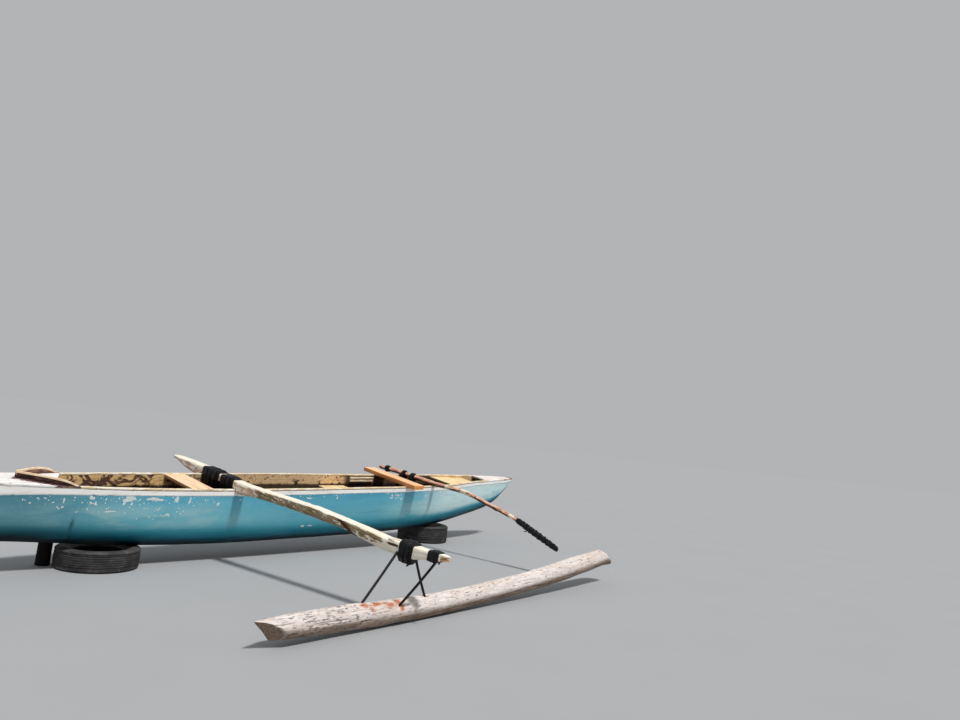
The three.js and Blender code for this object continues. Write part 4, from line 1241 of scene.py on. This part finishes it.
def make_branch():
    degrees = np.linspace(0, 360, 24, endpoint=False)
    rings, knots, pale = [], [], []
    for y in spread(BRANCH[0][0], BRANCH[-1][0], 11):
        x, z, radius = branch_at(y)
        to_end = min(abs(y - BRANCH[0][0]), abs(y - BRANCH[-1][0]))
        bulge, knot = np.zeros(len(degrees)), np.zeros(len(degrees))
        for knot_y, knot_angle, high, long in KNOTS:
            turn = (degrees - knot_angle + 180) % 360 - 180
            bulge += high * np.exp(-((y - knot_y) / long) ** 2 - (turn / 45) ** 2)
            knot = np.maximum(knot, np.exp(-((y - knot_y) / (long * 0.5)) ** 2 - (turn / 34) ** 2))
        r = (radius - 2.0) * min(1.0, 0.75 + to_end / 60) + bulge * 0.85
        angle = np.radians(degrees)
        rings.append(np.stack([x + r * np.sin(angle), angle * 0 + y, z - r * np.cos(angle)], axis=1))
        knots.append(knot if y > BRANCH_CUT else knot + 1)
        pale.append([max(math.exp(-((y - at) / half) ** 2) for at, half in PALE_PLACES)] * len(degrees))
    rings = np.array(rings)
    out = away_from(rings, rings.mean(axis=1, keepdims=True))
    rings = rings + out * (grain(rings, (26, 60, 26), 301, 3) * 3.4)[..., None]
    body = loft(rings, cap_rings=1)
    piece(("rear_boom",), body, BARK, paint=values(body, knots, pale), sharp=60)


# Wound rubber on the boom: name, from y, to y, thickness, depth that it hangs below, hump above, whether it
# goes round the spreader, turns. On the branch it has no depth and no hump.
BOOM_LASHINGS = [
    ["hull_lashing_starboard", 224, -12, 14, 0, 0, True, 10],
    ["hull_lashing_port", -34, -208, 12, 0, 0, True, 8],
    ["outer_lashing", -1968, -2083, 16, 20, 10, False, 8],
    ["end_lashing", -2196, -2283, 10, 0, 0, False, 6],
]
BRANCH_WRAPS = [
    ["rear_lashing_outboard", 400, 340, 10, False, 4],
    ["rear_lashing_middle", 185, 130, 11, True, 4],
    ["rear_lashing_port", 75, 10, 11, True, 5],
    ["rear_outer_wrap", -1290, -1762, 11, False, 26],
]
LOOP_STEPS = 64
WRAP_SAG_AT = 26
# Widths of the strip on the boom by the hull and by the float, and on the branch.
HULL_STRIP, FLOAT_STRIP, BRANCH_STRIP = 34, 30, 26
# A strip's section from edge to edge: along its width and out, as shares. Its edges are folded up.
STRIP = (
    (-0.5, 0.0), (-0.5, 0.75), (-0.38, 1.05), (-0.15, 0.70),
    (0.2, 0.72), (0.42, 0.95), (0.5, 0.5), (0.5, 0.0),
)


def outline_of(points):
    """Convex outline of points in a plane, anticlockwise."""
    ordered = sorted(set((round(a, 4), round(b, 4)) for a, b in points))

    def half(rows):
        line = []
        for p in rows:
            while len(line) > 1:
                (ax, ay), (bx, by) = line[-2], line[-1]
                if (bx - ax) * (p[1] - ay) - (by - ay) * (p[0] - ax) > 0:
                    break
                line.pop()
            line.append(p)
        return line[:-1]

    return half(ordered) + half(ordered[::-1])


def circle(x, z, radius, count=24):
    angles = np.linspace(0, 2 * math.pi, count, endpoint=False)
    return [(x + radius * math.cos(a), z + radius * math.sin(a)) for a in angles]


def even_loop(points):
    """The points' outline walked round in equal steps."""
    outline = outline_of(points)
    closed = np.array(outline + outline[:1])
    reach = np.concatenate([[0], np.cumsum(np.hypot(*np.diff(closed, axis=0).T))])
    at = np.linspace(0, reach[-1], LOOP_STEPS, endpoint=False)
    return np.stack([np.interp(at, reach, closed[:, 0]), np.interp(at, reach, closed[:, 1])], axis=1)


def boom_loop(y, spreader, extra, hump):
    low, high = boom_section(y)
    far = boom_far(y)
    corner = 7
    outline = []
    for cx in (corner, far - corner):
        for cz in (low + corner, high - corner):
            outline += circle(cx, cz, corner)
    if spreader:
        outline += circle(*SPREADERS[0][1:])
    if extra:
        outline += circle(WRAP_SAG_AT, low - extra * 0.75, 10)
    if hump:
        outline += circle(far * 0.4, high + hump - 12, 12)
    return even_loop(outline)


def branch_loop(y, spreader):
    outline = circle(*branch_at(y), 32)
    if spreader:
        outline += circle(*SPREADERS[1][1:], 32)
    return even_loop(outline)


def strip_turn(loop_at, y, lean, width, thick, lift, seed, random):
    """One turn of strip round a loop that may change along Y: a closed band, folded and a little uneven."""
    rings = []
    phase, wobble = random.uniform(0, 2 * math.pi, 2)
    for i in range(LOOP_STEPS):
        around = 2 * math.pi * i / LOOP_STEPS
        y_here = y + lean * math.sin(around + phase)
        loop = loop_at(y_here)
        tangent = loop[(i + 1) % LOOP_STEPS] - loop[i - 1]
        normal = np.array([tangent[1], -tangent[0]]) / max(np.linalg.norm(tangent), 1e-6)
        ripple = thick * (0.22 * math.sin(3 * around + wobble) + 0.16 * math.sin(7 * around + seed))
        wide = width * (1 + 0.16 * math.sin(2 * around + wobble))
        ring = []
        for along, out in STRIP:
            p = loop[i] + normal * (lift + thick * out + ripple)
            ring.append((p[0], y_here + along * wide, p[1]))
        rings.append(ring)
    return hoop(rings)


def flat_strip(path, width, thick):
    """A strip's loose end along a path."""
    rings = []
    path = np.array(path)
    for i, p in enumerate(path):
        tangent = path[min(i + 1, len(path) - 1)] - path[max(i - 1, 0)]
        tangent /= np.linalg.norm(tangent)
        wide = np.array([0.0, 1.0, 0.0]) - tangent * tangent[1]
        wide /= np.linalg.norm(wide)
        up = np.cross(tangent, wide)
        narrow = 1 - 0.5 * (i / (len(path) - 1)) ** 2
        corners = ((-0.5, -0.5), (0.5, -0.5), (0.5, 0.5), (-0.5, 0.5))
        rings.append([p + wide * a * width * narrow + up * b * thick for a, b in corners])
    return loft(rings)


def wound(loop_at, first, last, thick, width, turns, seed):
    """A lashing: turns of strip over a core, some slanting over the others, and a loose end."""
    random = np.random.default_rng(seed)
    low, high = min(first, last), max(first, last)
    room_for_lean = (high - low - width) / 2
    bodies = []
    for i in range(turns):
        t = (i + 0.5) / turns
        room = 1 - abs(2 * t - 1) ** 3
        crossing = i % 4 == 3
        most, share = (14.0, 0.7) if crossing else (5.0, 0.2)
        lean = random.uniform(-1, 1) * min(most, room_for_lean * share)
        y = low + width / 2 + (high - low - width) * t + random.uniform(-2, 2)
        y = min(max(y, low + width / 2 + abs(lean)), high - width / 2 - abs(lean))
        lift = thick * (0.06 + 0.46 * ((i * 7) % 3) / 2 * room) * (1.2 if crossing else 1.0)
        bodies.append(strip_turn(loop_at, y, lean, width, thick * 0.42, lift, i + seed, random))
    core = []
    for y in np.linspace(low + 3, high - 3, 9):
        loop = loop_at(y)
        grown = loop + away_from(loop, loop.mean(axis=0), (1, 1)) * (thick * 0.22)
        core.append([(p[0], y, p[1]) for p in grown])
    bodies.append(loft(core))
    y = low + (high - low) * (0.25 + 0.5 * random.random())
    loop = loop_at(y)
    start = loop[int(random.random() * LOOP_STEPS)]
    out = away_from(start, loop.mean(axis=0), (1, 1))
    path = []
    for t in np.linspace(0, 1, 9):
        p = start + out * (thick * 0.9 + 5 * math.sin(t * 2.2)) + np.array([out[1], -out[0]]) * 38 * t
        path.append((p[0], y + 10 * t, p[1] - 14 * t * t))
    bodies.append(flat_strip(path, width * 0.55, thick * 0.3))
    return joined(bodies)


def make_lashings():
    for seed, (name, first, last, thick, extra, hump, spreader, turns) in enumerate(BOOM_LASHINGS, 200):

        def loop_at(y):
            return boom_loop(y, spreader, extra, hump)

        width = HULL_STRIP if spreader else FLOAT_STRIP
        piece((name,), wound(loop_at, first, last, thick, width, turns, seed), RUBBER, sharp=50)
    for seed, (name, first, last, thick, spreader, turns) in enumerate(BRANCH_WRAPS, 230):

        def loop_at(y):
            return branch_loop(y, spreader)

        piece((name,), wound(loop_at, first, last, thick, BRANCH_STRIP, turns, seed), RUBBER, sharp=50)


# Float: station, height of its centre, half height, half width. Its bow is cut to a blunt point.
FLOAT_Y = -2100
FLOAT = [
    [-1066, -160, 50, 50],
    [-900, -168, 61, 60],
    [-570, -182, 71, 66],
    [-20, -205, 73, 68],
    [300, -212, 71, 68],
    [700, -207, 68, 67],
    [1120, -196, 70, 68],
    [1660, -168, 79, 70],
    [2160, -127, 79, 69],
    [2430, -103, 72, 64],
]
BOW_LEAN, BOW_POINT, AFT_LEAN, LEAN_REACH = 110, 110, 190, 420
STRUTS = [
    ["strut_front", 10, -1958, 100, -352, -2085, -140],
    ["strut_outer", 16, -2262, 140, -92, -2140, -160],
    ["strut_aft", 60, -2060, 100, 175, -2105, -150],
]
STRUT_RADIUS = 8
# Rust runs on the log: station, angle from its top to port in degrees, half length, half angle, share.
RUST = [
    [-352, 14, 34, 22, 1.0],
    [-250, 20, 110, 13, 0.9],
    [-306, 52, 20, 34, 0.7],
    [-160, 34, 60, 22, 0.9],
    [-92, 24, 34, 22, 1.0],
    [-66, 58, 20, 34, 0.9],
    [180, 2, 60, 14, 0.5],
]
# Black dashes lie thickest on the log between these stations, and thin out over a length on either side.
DASHES = [-760, -420]
DASH_FADE = 120


def make_float():
    around = 56
    angle = 2 * math.pi * (np.arange(around) + 0.5) / around
    part = (1 + np.cos(angle)) / 2
    from_top = np.degrees(np.arctan2(-np.sin(angle), -np.cos(angle)))
    first, last = FLOAT[0][0], FLOAT[-1][0]
    rings, rust = [], []
    for s in spread(first, last, 15):
        bow, aft = max(0.0, 1 - (s - first) / LEAN_REACH), max(0.0, 1 - (last - s) / LEAN_REACH)
        x = s + (BOW_LEAN * part + BOW_POINT * np.abs(np.sin(angle))) * bow + AFT_LEAN * part * aft
        at = np.clip(x, first, last)
        middle, high, wide = (np.array([sample(FLOAT, k, v) for v in at]) for k in (1, 2, 3))
        rings.append(np.stack([x, FLOAT_Y + wide * np.sin(angle), middle - high * np.cos(angle)], axis=1))
        away = [((x - row[0]) / row[2]) ** 2 + ((from_top - row[1]) / row[3]) ** 2 for row in RUST]
        rust.append(np.max([row[4] * np.exp(-a) for row, a in zip(RUST, away)], axis=0))
    rings = np.array(rings)
    out = away_from(rings, rings.mean(axis=1, keepdims=True), (0, 1, 1))
    uneven = grain(rings, (260, 70, 70), 401, 3) * 4.0 + grain(rings, (60, 26, 26), 409, 3) * 1.6
    cracks = -6.0 * smooth(0.34, 0.5, grain(rings, (330, 15, 15), 405, 2))
    rings = rings + out * (uneven + cracks - 3.0)[..., None]
    edge = np.stack([first + BOW_LEAN * part, part * 0 + FLOAT_Y, rings[0, :, 2]], axis=1)
    nose = [edge + (rings[0] - edge) * share for share in (0.05, 0.2, 0.4, 0.6, 0.8)]
    nose = np.array(nose) + grain(np.array(nose), (30, 30, 30), 415, 2)[..., None] * np.array([2.0, 0, 0])
    body = loft(np.concatenate([nose, rings]), cap_rings=5)
    sawn = np.ones(len(body[0]))
    sawn[len(nose) * around:(len(nose) + len(rings)) * around] = 0
    zeros = np.zeros(nose.shape[:2])
    # Share of the lower half that gets browner wood and painted shade: 0 on top, 1 underneath.
    side = np.broadcast_to(smooth(0.34, 0.62, part), rings.shape[:2])
    stations = rings[:, :, 0]
    dashes = smooth(DASHES[0] - DASH_FADE, DASHES[0], stations)
    dashes = dashes * smooth(DASHES[1] + DASH_FADE, DASHES[1], stations)
    rust, side, dashes = (np.concatenate([zeros, value]) for value in (rust, side, dashes))
    piece(("float",), body, LOG, paint=values(body, rust, sawn, side, dashes), sharp=38)


def make_struts():
    for name, *ends in STRUTS:
        top, foot = np.array(ends[:3], float), np.array(ends[3:], float)
        along = (foot - top) / np.linalg.norm(foot - top)
        side = np.cross(along, [0, 0, 1])
        side /= np.linalg.norm(side)
        other = np.cross(along, side)
        rings = []
        for t in np.linspace(0, 1, 41):
            centre = top + (foot - top) * t + other * 3 * math.sin(math.pi * t)
            rings.append([centre + a * side + b * other for a, b in circle(0, 0, STRUT_RADIUS, 12)])
        piece((name,), loft(rings), STEEL)


# Tyres lying flat: name, centre x and y in the boat's frame, outer diameter.
TYRES = [["front_tyre", -815, -20, 530], ["rear_tyre", 2635, 70, 530]]
DENT = 4
BEAD_DIAMETER = 320
TYRE_SKIN = [[0, 0.62], [0.13, 0.78], [0.47, 1], [0.82, 0.97], [0.96, 0.88], [1, 0.76]]
TYRE_LINING = [[0.88, 0.62], [0.77, 0.76], [0.47, 0.83], [0.16, 0.62], [0.07, 0.48]]
TYRE_CREST = 0.47
TYRE_STEPS = 180
TREAD_ROWS = 33
GROOVES = (0.12, 0.42, 0.72)
GROOVE_DEEP, SIPE_DEEP, TREAD_CROWN = 3.0, 2.5, 3.0
PROP = {"x": -1090, "y": 150, "radius": 45, "foot": 47, "top": -205}


def on_floor(x, y, z):
    return BOAT @ Vector((x * MM, y * MM, z * MM)) / MM


def underside(x, y):
    """Height above the floor of the hull's underside at a point of the boat's frame."""
    part = min(abs(y) / hull(HALF_BEAM, x), 1.0)
    top, power = hull(SHEER, x) - CAP_THICK, hull(FULLNESS, x)
    depth = (top - hull(KEEL, x)) * (1 - part ** power) ** (1 / power)
    return on_floor(x, y, top - depth)[2]


def below_hull(points, play):
    """Lowers what would reach into the hull."""
    to_boat = BOAT.inverted()
    for point in points:
        local = to_boat @ Vector(point * MM) / MM
        if abs(local[1]) < hull(HALF_BEAM, local[0]):
            point[2] = min(point[2], underside(local[0], local[1]) - play)


def smooth_rows(rows, parts):
    """Rows of (r, z) with parts between each two on a smooth curve."""
    rows = np.array(rows, float)
    result = []
    for i in range(len(rows) - 1):
        p0, p1, p2, p3 = rows[max(i - 1, 0)], rows[i], rows[i + 1], rows[min(i + 2, len(rows) - 1)]
        for t in np.arange(parts) / parts:
            a = 2 * p1 + (p2 - p0) * t + (2 * p0 - 5 * p1 + 4 * p2 - p3) * t * t
            result.append((a + (3 * p1 - p0 - 3 * p2 + p3) * t ** 3) / 2)
    return result + [rows[-1]]


def make_tyre(name, x, y, diameter):
    bead = BEAD_DIAMETER / 2
    reach = diameter / 2 - bead
    crest = bead + reach * TYRE_CREST
    turns = np.linspace(0, 2 * math.pi, 72, endpoint=False)
    width = DENT + min(underside(x + crest * math.cos(a), y + crest * math.sin(a)) for a in turns)
    half = width / 2
    centre = on_floor(x, y, hull(KEEL, x))
    side, lining = (
        np.array(smooth_rows([(bead + reach * part, high * half) for part, high in table], parts))
        for table, parts in ((TYRE_SKIN, 5), (TYRE_LINING, 3))
    )
    tread_half = TYRE_SKIN[-1][1] * half
    tread = np.array([(diameter / 2, z) for z in np.linspace(tread_half, -tread_half, TREAD_ROWS)[1:-1]])
    mirror = np.array([1, -1])
    loop = np.vstack([side, tread, side[::-1] * mirror, lining[::-1] * mirror, lining])
    share = np.abs(loop[:, 1]) / tread_half
    on_tread = loop[:, 0] > diameter / 2 - 0.01
    groove = np.min([np.abs(share - at) for at in GROOVES], axis=0) < 0.04
    groove = np.where(on_tread & groove, 1.0, 0.0)
    loop[:, 0] -= groove * GROOVE_DEEP + np.where(on_tread, TREAD_CROWN * share ** 2, 0)
    rings, marks = [], []
    for i in range(TYRE_STEPS):
        angle = 2 * math.pi * i / TYRE_STEPS
        sipe = np.where(on_tread & (share > 0.78) & (i % 5 == 0), 1.0, 0.0)
        r = loop[:, 0] - sipe * SIPE_DEEP
        px, py = centre[0] + r * math.cos(angle), centre[1] + r * math.sin(angle)
        rings.append(np.stack([px, py, half + loop[:, 1]], axis=1))
        marks.append(np.maximum(groove, sipe * 0.6))
    rings = np.array(rings)
    sides = np.abs(rings[:, :, 2] - half) > tread_half * 0.98
    rings[:, :, 2] += np.where(sides, grain(rings, (70, 70, 200), 501, 2) * 0.5, 0)
    high = rings[:, :, 2] > width - 16
    pressed = rings[high]
    below_hull(pressed, GAP + 0.6)
    rings[high] = pressed
    rings[:, :, 2] = np.clip(rings[:, :, 2], 0.0, None)
    body = hoop(rings)
    piece((name,), body, TYRE, paint=values(body, marks), sharp=40, on_boat=False)


def make_prop():
    foot = on_floor(PROP["x"], PROP["y"], hull(KEEL, PROP["x"]))
    high = on_floor(PROP["x"], PROP["y"], PROP["top"])[2]
    rings = []
    for z in spread(0, high, 12):
        radius = PROP["foot"] + (PROP["radius"] - PROP["foot"]) * z / high - 1.5
        rings.append([(*at, z) for at in circle(foot[0], foot[1], radius, 40)])
    rings = np.array(rings)
    out = away_from(rings, np.array([foot[0], foot[1], 0]), (1, 1, 0))
    rings = rings + out * (grain(rings, (9, 9, 160), 601, 3) * 2.4 - 1.2)[..., None]
    below_hull(rings.reshape(-1, 3), GAP + 0.4)
    piece(("bilge_prop",), loft(rings, cap_rings=2), POST, on_boat=False)


# Nails: rows of small heads on what they hold.

def nail_heads(rows, radius, high):
    """Low domes standing on the points (x, y, z)."""
    profile = ((1.0, -0.6), (1.0, 0.4), (0.72, 0.85), (0.3, 1.0))
    return joined([
        loft([[(*at, z + high * up) for at in circle(x, y, radius * share, 10)] for share, up in profile])
        for x, y, z in rows
    ])


def make_nails():
    rows = []
    for x in np.arange(FOREDECK_AFT - 60, BOW + 500, -165):
        full = hull(HALF_BEAM, x) + CAP_OUTSIDE
        y = full - CAP_OUTSIDE - 8
        z = hull(SHEER, x) + deck_crown(full, y / full) - 0.6
        rows += [(x, side * y, z) for side in (-1, 1)]
    piece("foredeck_nails", nail_heads(rows, 4.2, 1.5), NAIL, "rod_steel")
    rows = [
        (x + 30 * side, side * (hull(HALF_BEAM, x) - 9), hull(SHEER, x) - 0.8)
        for x in np.arange(-1010, 3300, 240) for side in (-1, 1)
    ]
    piece("cap_nails", nail_heads(rows, 3.4, 1.2), NAIL, "rod_steel")
    rows = []
    for _, first, last, drop, _ in PLANKS:
        top = plank_top(first, last, drop)
        for x in (first + 0.25 * (last - first), first + 0.75 * (last - first)):
            rows += [(x, side * (inner_half(x, top) - 16), top - 0.7) for side in (-1, 1)]
    top = max(hull(SHEER, REAR_THWART["from"]), hull(SHEER, REAR_THWART["to"])) + GAP + REAR_THWART["thick"]
    rows += [(x, side * 222, top - 0.9) for x in (1930, 2008) for side in (-1, 1)]
    piece("plank_nails", nail_heads(rows, 4.0, 1.3), NAIL, "rod_steel")


make_hull()
make_chips()
make_strake("strake_port", -1, 11)
make_strake("strake_starboard", 1, 12)
make_cap("gunwale_cap_port", -1, 15)
make_cap("gunwale_cap_starboard", 1, 17)
make_deck("foredeck", BOW, FOREDECK_AFT, FOREDECK_V, 21, foredeck_marks)
make_deck("stern_deck", STERN_DECK_FROM, STERN, 0, 31, stern_marks)
make_breaker("wave_breaker_port", -1, 25)
make_breaker("wave_breaker_starboard", 1, 27)
make_planks()
make_rear_thwart()
make_cleat()
make_spreaders()
make_booms()
make_lashings()
make_branch()
make_float()
make_struts()
for tyre_row in TYRES:
    make_tyre(*tyre_row)
make_prop()
make_nails()


# Stage: a wide pale floor, as bright as the light round it, so that no edge shows far off.

FLOOR_REACH = (4.0, 12.0, 40.0, 160.0)


def make_stage():
    around = 96
    points = [(0.0, 0.0, 0.0)]
    for radius in FLOOR_REACH:
        points += [(*at, 0.0) for at in circle(0, 0, radius, around)]
    faces = [(0, 1 + i, 1 + (i + 1) % around) for i in range(around)]
    for r in range(len(FLOOR_REACH) - 1):
        for i in range(around):
            j = (i + 1) % around
            a, b = 1 + r * around, 1 + (r + 1) * around
            faces.append((a + i, b + i, b + j, a + j))
    mesh = bpy.data.meshes.new("studio_floor")
    mesh.from_pydata(points, [], faces)
    mesh.polygons.foreach_set("use_smooth", np.ones(len(mesh.polygons), bool))
    g = Graph("studio_floor", False)
    shade = g.noise((1.0, 1.0, 1.0), 1.4, 3.0)
    colour = g.ramp(shade, (0.3, ink(161, 163, 166)), (0.7, ink(163, 165, 168)))
    mesh.materials.append(g.finish(colour, 0.9, g.bump(shade, 0.0005, 0.1), 0.1))
    floor = bpy.data.objects.new("studio_floor", mesh)
    bpy.context.scene.collection.objects.link(floor)


make_stage()


# Light: one from high up on the port side that is soft at the edges, and soft light from all round.

KEY_FROM, KEY_DISTANCE = Vector((-0.08, -0.60, 1.0)), 8
KEY_ENERGY, KEY_WIDTH, KEY_COLOUR = 2.9, math.radians(7.0), (1.0, 0.98, 0.95)
SKY_COLOUR, SKY_STRENGTH = (0.97, 0.985, 1.0, 1.0), 0.46

key = bpy.data.lights.new("key", "SUN")
key.energy = KEY_ENERGY
key.angle = KEY_WIDTH
key.color = KEY_COLOUR
lamp = bpy.data.objects.new("key", key)
lamp.location = KEY_FROM * KEY_DISTANCE
lamp.rotation_euler = KEY_FROM.to_track_quat("Z", "Y").to_euler()
bpy.context.scene.collection.objects.link(lamp)

world = bpy.data.worlds.new("studio_world")
world.use_nodes = True
sky = world.node_tree.nodes["Background"].inputs
sky["Color"].default_value = SKY_COLOUR
sky["Strength"].default_value = SKY_STRENGTH
bpy.context.scene.world = world
bpy.context.scene.view_settings.view_transform = "Standard"


# Camera, in the frame of the floor.

CAMERA_PLACE = Vector((-3.85926, -4.16545, 1.12221))
CAMERA_RIGHT = Vector((0.597522, -0.795342, 0.101970))
CAMERA_AHEAD = Vector((0.788032, 0.605965, 0.108684))
FOCAL_PIXELS, IMAGE_WIDTH, SENSOR = 721.0, 960, 36.0

camera_data = bpy.data.cameras.new("camera")
camera_data.sensor_fit = "HORIZONTAL"
camera_data.sensor_width = SENSOR
camera_data.lens = SENSOR * FOCAL_PIXELS / IMAGE_WIDTH
camera_data.clip_end = 200.0
camera = bpy.data.objects.new("camera", camera_data)
facing = Matrix((CAMERA_RIGHT, CAMERA_RIGHT.cross(CAMERA_AHEAD), -CAMERA_AHEAD)).transposed()
camera.matrix_world = Matrix.Translation(CAMERA_PLACE) @ facing.to_4x4()
bpy.context.scene.collection.objects.link(camera)
bpy.context.scene.camera = camera
